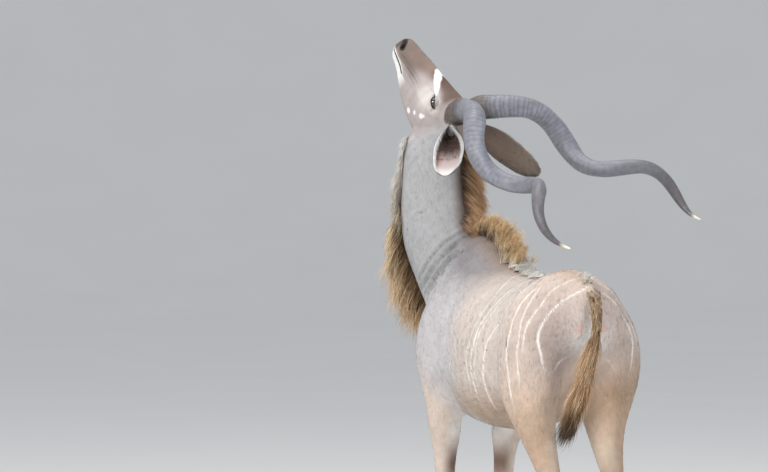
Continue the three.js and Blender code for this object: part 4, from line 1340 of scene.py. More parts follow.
def keratin_material():
    material, tree, shader = new_material("horn_keratin")
    colour = node(tree, "ShaderNodeAttribute", attribute_name="coat")
    place = node(tree, "ShaderNodeTexCoord").outputs["Object"]
    coarse = mapped_noise(tree, place, (1.0, 1.0, 1.0), 55, 6.0)
    fine = mapped_noise(tree, place, (1.0, 1.0, 1.0), 420, 4.0)
    uneven = math_node(tree, "MULTIPLY", coarse, 0.9)
    uneven = math_node(tree, "ADD", uneven, math_node(tree, "MULTIPLY", fine, 0.5))
    shade_colour(tree, shader, colour.outputs["Color"], math_node(tree, "ADD", uneven, 0.32))
    tip = node(tree, "ShaderNodeAttribute", attribute_name="tip").outputs["Fac"]
    rough = math_node(tree, "SUBTRACT", 0.42, math_node(tree, "MULTIPLY", tip, 0.22))
    tree.links.new(rough, shader.inputs["Roughness"])
    add_bump(tree, shader, math_node(tree, "ADD", coarse, fine), 0.5, 0.0016)
    return material


print("horns, ears, eyes, hooves")
horn_material = keratin_material()
make_horn("horn_left", 1)
make_horn("horn_right", -1)


# Ears.

EAR_WALL, EAR_BEND, EAR_SUNK = 5 * MM, 22 * MM, 17 * MM
EAR_CUP = np.array([
    [13, 14, 176], [26, 27, 174], [38, 33, 150], [50, 36, 112], [58, 37, 94],
    [60, 35, 86], [59, 32, 80], [55, 27, 76], [43, 19, 72], [14, 8, 70],
], float)


class Ear:
    """A cupped ear with an outer and an inner wall."""

    def __init__(self, name):
        along, facing, self.length = EARS[name]
        side = 1 if name == "left" else -1
        self.name = name
        self.axis = unit(np.array(along))
        self.mouth = unit(np.array(facing) - self.axis * np.dot(facing, self.axis))
        self.across = np.cross(self.axis, self.mouth)
        self.root = EAR_AT * [side, 1, 1] - self.axis * EAR_SUNK
        self.length += EAR_SUNK

    def wall(self, s, share, inset=0.0):
        """A point of the ear, in the head's axes, at s of its length and a share round its cup."""
        s, share = np.broadcast_arrays(np.asarray(s, float), np.asarray(share, float))
        cup = curve(EAR_CUP, s)
        wide, deep, turn = cup[..., 0] * MM, cup[..., 1] * MM, np.radians(cup[..., 2]) * share
        thick = np.minimum(inset, 0.4 * deep)
        ripple = 0.8 * MM * np.sin(26 * s + 3 * share) * smooth(0.5, 0.95, np.abs(share)) * smooth(0, 0.1, s)
        out = self.across * ((wide - thick) * np.sin(turn))[..., None]
        back = self.mouth * (-(deep - thick) * np.cos(turn) - EAR_BEND * s * s + ripple)[..., None]
        return self.root + self.axis * (s * self.length)[..., None] + out + back


def make_ear(name):
    ear = Ear(name)
    steps, arc = 84, 56
    s = np.linspace(-0.02, 1, steps + 1)[:, None]
    share = np.linspace(-1, 1, arc + 1)[None, :]
    s_in = np.maximum(s, 0.1)
    outer = ear.wall(np.maximum(s, 0), share * 0.99, 0.6 * MM)
    inner = ear.wall(s_in, share[:, ::-1] * 0.965, EAR_WALL - 0.6 * MM)
    rings = np.concatenate([outer, inner], 1)
    obj = closed_shells("ear_skin_" + name, [rings_in_body(rings)])
    all_s = np.concatenate([s + 0 * share, s_in + 0 * share], 1)
    all_share = np.concatenate([share + 0 * s, share[:, ::-1] + 0 * s], 1)
    inside = np.concatenate([0 * s + 0 * share, 1 + 0 * s + 0 * share], 1)
    colour = ear_colour(all_s, all_share, inside).reshape(-1, 3)
    paint(obj.data, "coat", np.vstack([colour, colour[:1], colour[-1:]]))
    turn = math.pi * (all_share * 0.48 + np.where(inside > 0, 0.5, -0.5))
    uv = unwrap_at("ear_" + name, np.clip(all_s, 0, 1), turn).reshape(-1, 2)
    uv = np.vstack([uv, uv[:1], uv[-1:]])
    corners = np.empty(len(obj.data.loops), np.int32)
    obj.data.loops.foreach_get("vertex_index", corners)
    layer = obj.data.uv_layers.new(name="OFBake")
    layer.data.foreach_set("uv", uv[corners].astype(np.float32).ravel())
    shade_smooth(obj.data)
    finish_piece(obj, ear_material, ["ear_" + name])
    return ear


def ear_colour(s, share, inside):
    """Grey-brown behind, pale along the rim, painted shade deep in the cup."""
    edge = smooth(0.78, 0.97, np.abs(share))
    back = linear(EAR_BACK) * np.ones(s.shape + (3,))
    back = mix(back, linear((150, 136, 124)), smooth(0.5, 0.9, s) * 0.5)
    back = mix(back, linear(WHITE), edge * 0.55)
    cup = linear(EAR_INSIDE) * np.ones(s.shape + (3,))
    lining = smooth(0.3, 0.75, share) * smooth(0.2, 0.35, s) * smooth(0.85, 0.6, s)
    cup = mix(cup, linear((136, 84, 72)), lining * 0.8)
    # Painted shade deep in the cup, near its root.
    cup = mix(cup, linear(EAR_CUP_SHADE), smooth(0.62, 0.34, s) * smooth(0.8, 0.3, np.abs(share)))
    cup = mix(cup, linear(WHITE), np.maximum(edge, smooth(0.7, 0.95, s) * 0.6))
    return mix(back, cup, inside)


ear_material = coat_material("ear_coat", 0.25, 0.72, 0.0008, 0.15)
ears = {name: make_ear(name) for name in EARS}


# Eyes.

def eye_material():
    """A dark brown iris round a wide level pupil, under a clear wet surface."""
    material, tree, shader = new_material("eye")
    place = node(tree, "ShaderNodeAttribute", attribute_name="look").outputs["Fac"]
    iris = colour_ramp(tree, place, [
        (0.30, (0.004, 0.003, 0.004)), (0.42, (0.035, 0.016, 0.008)),
        (0.78, (0.016, 0.008, 0.005)), (0.97, (0.05, 0.035, 0.03)),
    ])
    noise = mapped_noise(tree, node(tree, "ShaderNodeTexCoord").outputs["Object"], (1, 1, 1), 500, 3.0)
    shade_colour(tree, shader, iris, math_node(tree, "ADD", noise, 0.5))
    shader.inputs["Roughness"].default_value = 0.06
    shader.inputs["Coat Weight"].default_value = 1.0
    shader.inputs["Coat Roughness"].default_value = 0.02
    return material


def make_eye(name, side):
    rows, sides = 48, 64
    polar = np.linspace(0.02, math.pi - 0.02, rows)[:, None]
    turn = np.linspace(0, 2 * math.pi, sides, endpoint=False)[None, :]
    bulge = 1 + 0.035 * smooth(0.75, 0.2, polar)
    radius = (EYE_RADIUS - 0.4 * MM) * bulge
    forward = radius * np.cos(polar) + 0 * turn
    first, second = radius * np.sin(polar) * np.cos(turn), radius * np.sin(polar) * np.sin(turn)
    local = forward[..., None] * EYE_AXIS + first[..., None] * EYE_ALONG + second[..., None] * EYE_OVER
    obj = closed_shells("eyeball_" + name, [rings_in_body((EYE_AT + local) * [side, 1, 1])])
    # A level pupil: its place is measured along and across the opening between the lids.
    look = np.hypot(first / 1.7, second) / EYE_RADIUS * 1.25
    look = np.where(np.cos(polar) < 0, 1.2, np.minimum(look, np.hypot(first, second) / EYE_RADIUS + 0.12))
    mark(obj.data, "look", np.concatenate([look.ravel(), [0, 1.2]]))
    shade_smooth(obj.data)
    finish_piece(obj, wet_material, ["eye_" + name])


wet_material = eye_material()
make_eye("left", 1)
make_eye("right", -1)


def lid_line(turn, out=1.0, rise=1.9):
    """Points on the edge of the opening between the lids, by a turn round it, in the head's axes."""
    along, over = np.cos(turn), np.sin(turn)
    over = np.where(over < 0, over / 1.15, over)
    narrow = np.sqrt(np.clip(1 - np.abs(along), 0, 1)) * 0.25 + 0.75
    a = np.sin(along * LID_LONG * out)
    b = np.sin(over * narrow * LID_HIGH * out)
    front = np.sqrt(np.clip(1 - a * a - b * b, 0.02, 1))
    v = a[:, None] * EYE_ALONG + b[:, None] * EYE_OVER + front[:, None] * EYE_AXIS
    return EYE_AT + unit(v) * (EYE_RADIUS + rise * MM)


def make_lid_rims():
    """The dark wet edges of the lids."""
    shells = []
    turn = np.linspace(0, 2 * math.pi, 97)
    for side in (1, -1):
        path = lid_line(turn, 0.985, 1.1) * [side, 1, 1]
        shells.append(rings_in_body(tube_along(path, np.full(len(path), 1.5 * MM))))
    obj = closed_shells("lid_rims", shells)
    material, tree, shader = new_material("lid_rim")
    noise = mapped_noise(tree, node(tree, "ShaderNodeTexCoord").outputs["Object"], (1, 1, 1), 900, 3.0)
    colour = colour_ramp(tree, noise, [(0, (0.006, 0.005, 0.005)), (1, (0.03, 0.022, 0.02))])
    tree.links.new(colour, shader.inputs["Base Color"])
    shader.inputs["Roughness"].default_value = 0.3
    shade_smooth(obj.data)
    finish_piece(obj, material)


make_lid_rims()


# Hooves: two claws for each foot.

def make_hooves():
    material, tree, shader = new_material("hoof_horn")
    place = node(tree, "ShaderNodeTexCoord").outputs["Object"]
    rings = mapped_noise(tree, place, (0.12, 0.12, 1.0), 260, 3.0)
    worn = mapped_noise(tree, place, (1.0, 1.0, 0.3), 120, 4.0)
    colour = colour_ramp(tree, worn, [(0.3, linear((38, 32, 28))), (0.75, linear((104, 92, 80)))])
    tree.links.new(colour, shader.inputs["Base Color"])
    shader.inputs["Roughness"].default_value = 0.5
    add_bump(tree, shader, rings, 0.6, 0.001)
    rows, sides = 40, 56
    up = np.linspace(0, 1, rows + 1)[:, None]
    turn = np.linspace(0, 2 * math.pi, sides, endpoint=False)[None, :]
    nose = -np.sin(turn)
    for kind, stations in (("foreleg", FORELEG_ROWS), ("hindleg", HINDLEG_ROWS)):
        for name, side in (("left", 1), ("right", -1)):
            for where, way in (("inner", -side), ("outer", side)):
                x = side * (LEG_SPREAD + stations[-1, 0]) + way * 16 * MM
                y = stations[-1, 1]
                share = 1 - 0.2 * up**1.6 - 0.02 * smooth(0.06, 0.0, up)
                narrow = np.where(nose > 0, 1 - 0.45 * nose**2, 1)
                ripple = 1 + 0.012 * np.sin(up * 46 + 0.5 * np.sin(turn)) * smooth(0, 0.1, up)
                px = x + 15 * MM * share * narrow * np.cos(turn) * ripple + way * 2 * MM * nose
                lean = 30 * MM * (1 - up) ** 1.1
                py = y - nose * 46 * MM * share * ripple - lean * np.where(nose > 0, 1, 0.45)
                pz = up * 55.4 * MM + 0 * turn
                foot = "%s_%s_%s" % (kind, name, where)
                obj = closed_shells("claw_" + foot, [np.stack([px, py, pz], -1)])
                shade_smooth(obj.data)
                finish_piece(obj, material, ["hoof_" + foot])


make_hooves()


# Dewclaws behind the fetlocks.

def make_dewclaws():
    shells = []
    polar = np.linspace(0.05, math.pi - 0.05, 20)[:, None]
    turn = np.linspace(0, 2 * math.pi, 24, endpoint=False)[None, :]
    x = 8.6 * MM * np.sin(polar) * np.cos(turn)
    y = 10.5 * MM * np.sin(polar) * np.sin(turn)
    z = 14.5 * MM * np.cos(polar) + 0 * turn
    lean = math.radians(25)
    y, z = y * math.cos(lean) - z * math.sin(lean), y * math.sin(lean) + z * math.cos(lean)
    for stations in (FORELEG_ROWS, HINDLEG_ROWS):
        back, height, deep = stations[-4, 1], stations[-4, 2], stations[-4, 4]
        for side in (1, -1):
            for way in (1, -1):
                out = side * (LEG_SPREAD + stations[-1, 0]) + way * 15 * MM
                shells.append(np.stack([x, y, z], -1) + [out, back + deep - 15 * MM, height - 14 * MM])
    obj = closed_shells("dewclaws", shells)
    shade_smooth(obj.data)
    finish_piece(obj, bpy.data.materials["hoof_horn"])


make_dewclaws()


# The short coat: flat tufts lying along the skin.

def triangles_of(mesh):
    mesh.calc_loop_triangles()
    tri = np.empty(len(mesh.loop_triangles) * 3, np.int32)
    mesh.loop_triangles.foreach_get("vertices", tri)
    return tri.reshape(-1, 3)


def root_uv(chosen, weights, found):
    """Each root's place on the unwrap."""
    owner = part_index({name: w[chosen] for name, w in weights.items()})
    uv = np.zeros((len(chosen), 2))
    for k, name in enumerate(PART_NAMES):
        mine = owner == k
        t, turn, _ = found[name]
        uv[mine] = unwrap_at(name, t[chosen][mine], turn[chosen][mine])
    return uv


# Half the width of a tuft's patch on the unwrap, and the most tufts that one piece holds.
HALF_PATCH = 0.0015
TUFTS_IN_PIECE = 49000


def set_patch_uv(mesh, uv_of_tuft, tuft_of_triangle):
    """Every tuft takes one small patch of the unwrap at its root's place."""
    corner = np.array([[-1, -1], [1, -1], [0, 1]]) * HALF_PATCH
    uv = uv_of_tuft[tuft_of_triangle][:, None, :] + corner[None]
    layer = mesh.uv_layers.new(name="OFBake")
    layer.data.foreach_set("uv", np.clip(uv, 0, 1).astype(np.float32).ravel())


def soft_normals(mesh, wanted, share):
    """Tufts take the light as the skin below them does, and only partly as their own sides do."""
    own = normals_of(mesh)
    mesh.normals_split_custom_set_from_vertices(unit(own * (1 - share) + wanted * share).tolist())


def tufts(name, roots, normals, ways, lengths, widths, rise, colours, uv, material):
    """Flat thin tufts, each with its foot in the skin and its tip lying along the body."""
    count = len(roots)
    across = unit(np.cross(normals, ways))
    tip = roots + ways * lengths[:, None] + normals * (lengths * rise)[:, None]
    tip += across * (lengths * rng.normal(0, 0.16, count))[:, None]
    foot = roots - normals * 0.9 * MM
    a = foot + across * (widths / 2)[:, None]
    b = foot - across * (widths / 2)[:, None]
    ridge = roots + ways * (lengths * 0.4)[:, None] + normals * (widths * 0.3 + lengths * rise * 0.5)[:, None]
    points = np.stack([a, b, ridge, tip], 1).reshape(-1, 3)
    base = np.arange(count)[:, None] * 4
    triangles = np.stack([base + k for k in ([0, 2, 3], [1, 3, 2], [0, 1, 2], [0, 3, 1])], 1).reshape(-1, 3)
    obj = new_triangles(name, points, triangles)
    shade = np.stack([colours * 0.94, colours * 0.94, colours, colours * 1.05], 1).reshape(-1, 3)
    paint(obj.data, "coat", np.clip(shade, 0.003, 0.95))
    shade_smooth(obj.data)
    soft_normals(obj.data, np.repeat(normals, 4, axis=0), 0.86)
    set_patch_uv(obj.data, uv, np.repeat(np.arange(count), 4))
    finish_piece(obj, material)


def scatter(mesh, points, density):
    """Random places on the mesh, chosen by how dense the coat is at each vertex."""
    tri = triangles_of(mesh)
    a, b, c = points[tri[:, 0]], points[tri[:, 1]], points[tri[:, 2]]
    area = np.linalg.norm(np.cross(b - a, c - a), axis=1) / 2
    wanted = area * density[tri].mean(1)
    count = int(wanted.sum())
    face = rng.choice(len(tri), count, p=wanted / wanted.sum())
    r = np.sqrt(rng.random(count))
    s = rng.random(count)
    share = np.stack([1 - r, r * (1 - s), r * s], 1)
    corners = tri[face]
    return corners, share


def blend_of(values, corners, share):
    taken = values[corners]
    if taken.ndim == 2:
        return (taken * share).sum(1)
    return (taken * share[..., None]).sum(1)


def make_fur():
    left = on_left(flat_place)[0]
    ring, far, _ = lid_place(left)
    face = np.clip(weights["head"] * 1.1, 0, 1)
    low = smooth(0.8, 0.5, points[:, 2])
    length = 15 - 6 * low - 9.0 * face * smooth(0.02, 0.1, left[:, 2])
    length = np.maximum(length, 4.6) * MM + 7 * MM * smooth(0.085, 0.065, points[:, 2])
    density = 22500 + 14000 * low + 52000 * face
    muzzle = smooth(0.40, 0.44, left[:, 2]) * face
    density = density * (1 - 0.6 * muzzle)
    nostril = away_from(left, NOSTRIL)[0]
    mouth = away_from(left, MOUTH)[0]
    bare = smooth(1.25, 1.12, ring) * (far < 0.05)
    bare = np.maximum(bare, (nostril < 0.010) & (face > 0.5))
    bare = np.maximum(bare, (mouth < 0.003) & (face > 0.5))
    bare = np.maximum(bare, smooth(0.436, 0.45, left[:, 2]) * smooth(-0.034, -0.022, left[:, 1]) * face)
    bare = np.maximum(bare, smooth(0.056, 0.050, points[:, 2]))
    density = density * (1 - bare)
    corners, share = scatter(mesh, points, density)
    at = blend_of(points, corners, share)
    normal = unit(blend_of(n, corners, share))
    way = blend_of(lie, corners, share)
    way = unit(way - normal * dot(way, normal))
    count = len(at)
    # Hair turns a little from place to place, so that it lies in soft whorls.
    turn = 0.30 * spots(at, 0.03) + 0.14 * rng.normal(size=count)
    way = way * np.cos(turn)[:, None] + np.cross(normal, way) * np.sin(turn)[:, None]
    long = blend_of(length, corners, share) * rng.uniform(0.7, 1.25, count)
    wide = np.interp(long, [0.004, 0.016], [0.9, 1.9]) * MM * rng.uniform(0.75, 1.3, count)
    nearest = corners[np.arange(count), share.argmax(1)]
    their = {name: w[nearest] for name, w in weights.items()}
    there = {name: tuple(v[nearest] for v in f) for name, f in found.items()}
    flat = blend_of(flat_place, corners, share)
    colour = coat_colour(at, normal, their, there, flat)
    colour = colour * rng.uniform(0.86, 1.12, count)[:, None]
    uv = root_uv(nearest, weights, found)
    # Most tips lie down on the coat and only a few stand off it.
    rise = np.where(rng.random(count) < 0.08, rng.uniform(0.06, 0.14, count), rng.uniform(0.0, 0.03, count))
    is_head = their["head"] > 0.5
    is_leg = sum(their[name] for name in legs) > 0.5
    is_neck = (their["neck"] > 0.5) & ~is_head
    rest = ~(is_head | is_leg | is_neck)
    groups = [
        ("face_fur", "face_coat", is_head),
        ("leg_fur", "coat", is_leg),
        ("neck_fur", "neck_coat", is_neck),
        ("body_fur_front", "coat", rest & (at[:, 1] < 0.15)),
        ("body_fur_back", "coat", rest & (at[:, 1] >= 0.15)),
    ]
    for name, slot, group in groups:
        index = np.flatnonzero(group)
        for piece, start in enumerate(range(0, len(index), TUFTS_IN_PIECE)):
            k = index[start:start + TUFTS_IN_PIECE]
            tufts("%s_%d" % (name, piece), at[k], normal[k], way[k], long[k], wide[k], rise[k],
                  colour[k], uv[k], fur_material)
    print("fur tufts", count)


make_fur()


# Long hair: strands in locks, fine and tapering.

def strands(name, roots, starts, ends, lengths, widths, colours_root, colours_tip, uv, curl,
            segments=6):
    """Three-sided strands that leave their root one way and end another, each with a wave of its own."""
    count = len(roots)
    s = np.linspace(0, 1, segments + 1)[None, :, None]
    lengths = lengths[:, None, None]
    starts, ends = unit(starts)[:, None], unit(ends)[:, None]
    path = roots[:, None] + lengths * (starts * (s - s * s / 2) + ends * (s * s / 2))
    sway = unit(rng.normal(size=(count, 3)))[:, None]
    phase = rng.uniform(0, 2 * math.pi, count)[:, None, None]
    path = path + sway * lengths * curl * s * np.sin(phase + 5.0 * s)
    along = unit(np.gradient(path, axis=1))
    first = unit(np.cross(along, np.broadcast_to(unit(rng.normal(size=(count, 1, 3))), along.shape)))
    second = np.cross(along, first)
    taper = (0.85 + 0.5 * np.minimum(s * 3, 1)) * (1 - s**2.2)
    half = widths[:, None, None] / 2 * np.clip(taper, 0.06, 2)
    rings = [path + half * (first * math.cos(a) + second * math.sin(a)) for a in (0.0, 2.094, 4.189)]
    points = np.stack(rings, 2)[:, :-1].reshape(count, -1, 3)
    points = np.concatenate([points, path[:, -1:]], 1)
    per = segments * 3 + 1
    local = []
    for i in range(segments - 1):
        for k in range(3):
            a, b = 3 * i + k, 3 * i + (k + 1) % 3
            local += [(a, b, b + 3), (a, b + 3, a + 3)]
    top = 3 * (segments - 1)
    local += [(top + k, top + (k + 1) % 3, per - 1) for k in range(3)]
    local = np.array(local)
    triangles = (np.arange(count)[:, None, None] * per + local[None]).reshape(-1, 3)
    obj = new_triangles(name, points.reshape(-1, 3), triangles)
    share = np.concatenate([np.repeat(np.linspace(0, 1, segments + 1)[:-1], 3), [1.0]])[None, :, None]
    colour = colours_root[:, None] + (colours_tip - colours_root)[:, None] * smooth(0.05, 0.75, share)
    paint(obj.data, "coat", np.clip(colour.reshape(-1, 3), 0.003, 0.95))
    set_patch_uv(obj.data, uv, np.repeat(np.arange(count), len(local)))
    shade_smooth(obj.data)
    finish_piece(obj, mane_material)


MORE = 1.0


def lay(out, direction, rise, wander=0.08):
    """A direction of lie, lifted from the skin by a share."""
    d = unit(np.array(direction, float))
    return unit(d * (1 - rise) + out * rise + rng.normal(0, wander, out.shape))


def shades(colours, share):
    """A colour for each share: the same one for all, or a ramp between two."""
    first, second = colours if np.ndim(colours) == 2 else (colours, colours)
    return mix(tint(first, len(share)), tint(second, len(share)), share)


def hair_along(name, part, locks, per_lock, t_of, turn, length_of, start, end, root_colour,
               tip_colour, width, spread, curl=0.05, segments=6, loose=0.25, root_power=1):
    """Locks of strands along a part. The strands of a lock share its bend and draw together at the tip.

    turn is where round the part the locks stand and how far they stray, in degrees, or None for all
    round it. start and end are each a direction of lie, its lift from the skin and how it wanders.
    """
    tube, locks = parts[part], int(locks * MORE)
    lock_share = (np.arange(locks) + rng.random(locks)) / locks
    rng.shuffle(lock_share)
    t = t_of(lock_share)
    if turn is None:
        turn = rng.uniform(0, 2 * math.pi, locks)
    else:
        turn = math.radians(turn[0]) + rng.normal(0, math.radians(turn[1]), locks)
    root = tube.point(t, turn, -5 * MM)
    out = unit(root - tube.centre(t))
    start, end = lay(out, *start), lay(out, *end)
    length = length_of(lock_share) * rng.uniform(0.78, 1.16, locks)
    which = np.repeat(np.arange(locks), per_lock)
    count = len(which)
    aside = rng.normal(size=(count, 3))
    aside -= out[which] * dot(aside, out[which])
    roots = root[which] + aside * spread
    starts = unit(start[which]) + rng.normal(0, loose * 0.6, (count, 3))
    # Tips draw together: the end turns back by part of what the root stood aside.
    ends = unit(end[which]) - aside * spread / np.maximum(length[which], 0.02)[:, None] * 0.9
    ends = ends + rng.normal(0, loose * 0.35, (count, 3))
    lengths = length[which] * rng.uniform(0.72, 1.08, count)
    widths = width * rng.uniform(0.7, 1.3, count)
    tone = (rng.uniform(0.82, 1.2, locks)[which] * rng.uniform(0.82, 1.18, count))[:, None]
    roots_c = shades(root_colour, lock_share**root_power)[which] * tone
    tips_c = shades(tip_colour, lock_share)[which] * tone
    odd = rng.random(count)[:, None]
    tips_c = tips_c * np.where(odd < 0.12, 1.35, np.where(odd > 0.84, 0.55, 1.0))
    uv = unwrap_at(part, t[which], np.arctan2(np.sin(turn[which]), np.cos(turn[which])))
    strands(name, roots, starts, ends, lengths, widths, roots_c, tips_c, uv, curl, segments)


def bell(share, low, high):
    return low + (high - low) * np.sin(math.pi * share)


def torso_share(back):
    return np.interp(back, TORSO[:, 0], np.linspace(0, 1, len(TORSO)))


def make_long_hair():
    # The mane on the nape, from behind the ears to the withers.
    hair_along(
        "nape_hair", "neck", 180, 26,
        t_of=lambda s: 0.80 - 0.52 * s, turn=(90, 7), length_of=lambda s: bell(s, 0.070, 0.104),
        start=((-0.28, 0.42, -0.72), 0.62), end=((-0.28, 0.42, -0.72), 0.18),
        root_colour=NAPE_ROOT, tip_colour=NAPE_TIP, width=1.3 * MM, spread=8 * MM, curl=0.06,
    )
    # The short throat hair and the long fringe below it.
    hair_along(
        "throat_hair", "neck", 130, 14,
        t_of=lambda s: 0.78 - 0.36 * s, turn=(-90, 17),
        length_of=lambda s: 0.072 - 0.03 * np.sin(math.pi * np.minimum(s * 1.6, 1)) + 0.016 * s,
        start=((0.02, -0.04, -1), 0.42, 0.14), end=((0.02, -0.04, -1), 0.1),
        root_colour=((200, 196, 190), (150, 134, 116)), tip_colour=((236, 234, 230), (190, 176, 150)),
        width=1.1 * MM, spread=7 * MM, curl=0.07, loose=0.4,
    )
    hair_along(
        "fringe", "neck", 190, 25,
        t_of=lambda s: 0.42 - 0.35 * s, turn=(-90, 15), length_of=lambda s: bell(s, 0.120, 0.205),
        start=((0.02, -0.04, -1), 0.56), end=((0.02, -0.04, -1), 0.04),
        root_colour=FRINGE_ROOT, tip_colour=(FRINGE_TIP, (204, 170, 130)),
        width=1.5 * MM, spread=11 * MM, curl=0.07, segments=7,
    )
    # The crest along the withers and back, and the tuft on the rump.
    hair_along(
        "withers_crest", "torso", 150, 28,
        t_of=lambda s: torso_share(-0.47 + 0.43 * s), turn=(90, 4),
        length_of=lambda s: bell(s, 0.080, 0.116) * (1 + 0.18 * np.sin(47 * s)),
        start=((0, 0.8, 0.2), 0.62), end=((0, 0.8, 0.1), 0.2),
        root_colour=((98, 76, 60), (236, 228, 214)), tip_colour=(CREST_TIP, (226, 196, 156)),
        width=1.4 * MM, spread=7 * MM, curl=0.05, loose=0.34, root_power=3,
    )
    hair_along(
        "back_crest", "torso", 100, 20,
        t_of=lambda s: torso_share(-0.05 + 0.30 * s), turn=(90, 4),
        length_of=lambda s: 0.086 - 0.062 * np.sqrt(s),
        start=((0, 1, -0.1), 0.34), end=((0, 1, -0.1), 0.12),
        root_colour=(240, 234, 224), tip_colour=((250, 246, 238), WHITE),
        width=1.3 * MM, spread=7 * MM, curl=0.05,
    )
    hair_along(
        "rump_tuft", "torso", 26, 14,
        t_of=lambda s: torso_share(0.565 + 0.085 * s), turn=(90, 4),
        length_of=lambda s: bell(s, 0.022, 0.036),
        start=((0, 0.7, 0.3), 0.62, 0.16), end=((0, 0.8, -0.1), 0.3, 0.16),
        root_colour=((244, 240, 232), (150, 124, 104)), tip_colour=((244, 240, 232), (226, 216, 200)),
        width=1.1 * MM, spread=4 * MM, curl=0.09,
    )
    # The tail: flat hair down its length, long hair that fans out to its left side, then the brush.
    hair_along(
        "tail_hair", "tail", 260, 6,
        t_of=lambda s: 0.24 + 0.40 * s, turn=None, length_of=lambda s: 0.016 + 0.034 * s,
        start=((0.12, 0.02, -1), 0.07, 0.04), end=((0.22, 0.0, -1), 0.03),
        root_colour=(140, 112, 84), tip_colour=(196, 170, 136),
        width=1.1 * MM, spread=3 * MM, curl=0.04, segments=5,
    )
    hair_along(
        "tail_side_hair", "tail", 110, 20,
        t_of=lambda s: 0.50 + 0.30 * s, turn=None, length_of=lambda s: 0.120 + 0.030 * s,
        start=((0.34, -0.05, -1), 0.10, 0.07), end=((0.30, -0.05, -1), 0.02, 0.10),
        root_colour=(156, 122, 90), tip_colour=(212, 180, 144),
        width=1.2 * MM, spread=5 * MM, curl=0.05, segments=7,
    )
    hair_along(
        "tail_brush", "tail", 155, 22,
        t_of=lambda s: 0.64 + 0.345 * s, turn=None, length_of=lambda s: 0.112 + 0.022 * s,
        start=((0.30, -0.03, -1), 0.12, 0.05), end=((0.50, -0.03, -1), 0.02, 0.06),
        root_colour=(BRUSH_TOP, (120, 88, 60)), tip_colour=((186, 148, 108), BRUSH_END),
        width=1.3 * MM, spread=5 * MM, curl=0.05, segments=7,
    )


make_long_hair()


def make_ear_hair():
    """Short flat hair behind the ears, and longer pale hair along their rims and in the cup."""
    for name, ear in ears.items():
        mouth, axis = head_way(ear.mouth), head_way(ear.axis)
        count = int(4200 * MORE)
        s = rng.uniform(0.02, 0.97, count)
        share = rng.uniform(-0.96, 0.96, count)
        root = from_head(ear.wall(s, share, 0.8 * MM))
        middle = from_head(ear.wall(s, 0 * share, 30 * MM))
        out = unit(root - middle)
        along = from_head(ear.wall(s + 0.02, share, 0.8 * MM)) - root
        along = unit(along - out * dot(along, out))
        colour = ear_colour(s, share, 0 * s) * rng.uniform(0.85, 1.15, count)[:, None]
        uv = unwrap_at("ear_" + name, s, math.pi * (share * 0.48 - 0.5))
        tufts("ear_back_fur_" + name, root, out, along, rng.uniform(6, 10, count) * MM,
              rng.uniform(0.9, 1.5, count) * MM, rng.uniform(0.05, 0.16, count), colour, uv, fur_material)
        # The rim's hair points into the cup, thick at the front edge near the root.
        count = int(2100 * MORE)
        edge = np.where(rng.random(count) < 0.5, -1.0, 1.0)
        s = rng.uniform(0.04, 0.92, count)
        share = edge * rng.uniform(0.86, 0.99, count)
        root = from_head(ear.wall(s, share, EAR_WALL * 0.6))
        inward = from_head(ear.wall(s, share * 0.5, EAR_WALL)) - root
        start = unit(inward) * 0.55 + mouth * 0.55 + axis * 0.45 + rng.normal(0, 0.16, (count, 3))
        end = unit(inward) * 0.9 + axis * 0.6 + rng.normal(0, 0.16, (count, 3))
        length = np.interp(s, [0, 0.3, 0.7, 1], [34, 20, 12, 8]) * MM * rng.uniform(0.6, 1.15, count)
        white = shades((NECK_GREY, WHITE), smooth(0.1, 0.35, s))
        white = white * rng.uniform(0.8, 1.05, count)[:, None]
        uv = unwrap_at("ear_" + name, s, math.pi * (share * 0.48 + 0.5))
        strands("ear_rim_hair_" + name, root, start, end, length,
                np.full(count, 0.9 * MM), white * 0.9, white, uv, 0.08, 5)
        # A sparse comb of longer hair stands deep in the cup.
        count = int(500 * MORE)
        s = rng.uniform(0.12, 0.6, count)
        share = rng.uniform(-0.7, 0.7, count)
        root = from_head(ear.wall(s, share, EAR_WALL))
        start = mouth * 0.7 + axis * 0.6 + rng.normal(0, 0.2, (count, 3))
        end = mouth * 0.5 + axis * 0.9 + rng.normal(0, 0.2, (count, 3))
        length = rng.uniform(14, 30, count) * MM
        uv = unwrap_at("ear_" + name, s, math.pi * (share * 0.48 + 0.5))
        pale = tint((168, 148, 140), count)
        strands("ear_cup_hair_" + name, root, start, end, length,
                np.full(count, 0.8 * MM), pale * 0.7, pale, uv, 0.08, 5)


make_ear_hair()


def make_lashes():
    """Lashes along the upper lids."""
    roots, starts, ends, lengths, uv = [], [], [], [], []
    for side in (1, -1):
        flip = np.array([side, 1, 1])
        count = 60
        turn = rng.uniform(0.12, math.pi - 0.12, count)
        root = lid_line(turn, 1.03, 2.2)
        away = unit(root - EYE_AT)
        over = np.sin(turn)[:, None] * EYE_OVER * 0.5 + np.cos(turn)[:, None] * EYE_ALONG * 0.35
        roots.append(from_head(root * flip))
        starts.append(head_way((away * 0.9 - EYE_OVER * 0.15 + over * 0.3) * flip))
        ends.append(head_way((away * 0.6 + EYE_OVER * 0.6 + over) * flip))
        lengths.append(rng.uniform(5, 9, count) * MM)
        uv.append(unwrap_at("head", np.full(count, 0.36), np.full(count, 0.3 if side > 0 else math.pi - 0.3)))
    root, count = np.vstack(roots), len(np.vstack(roots))
    dark = tint((30, 24, 22), count)
    strands("lashes", root, np.vstack(starts), np.vstack(ends), np.concatenate(lengths),
            np.full(count, 0.7 * MM), dark, dark, np.vstack(uv), 0.03, 5)


make_lashes()


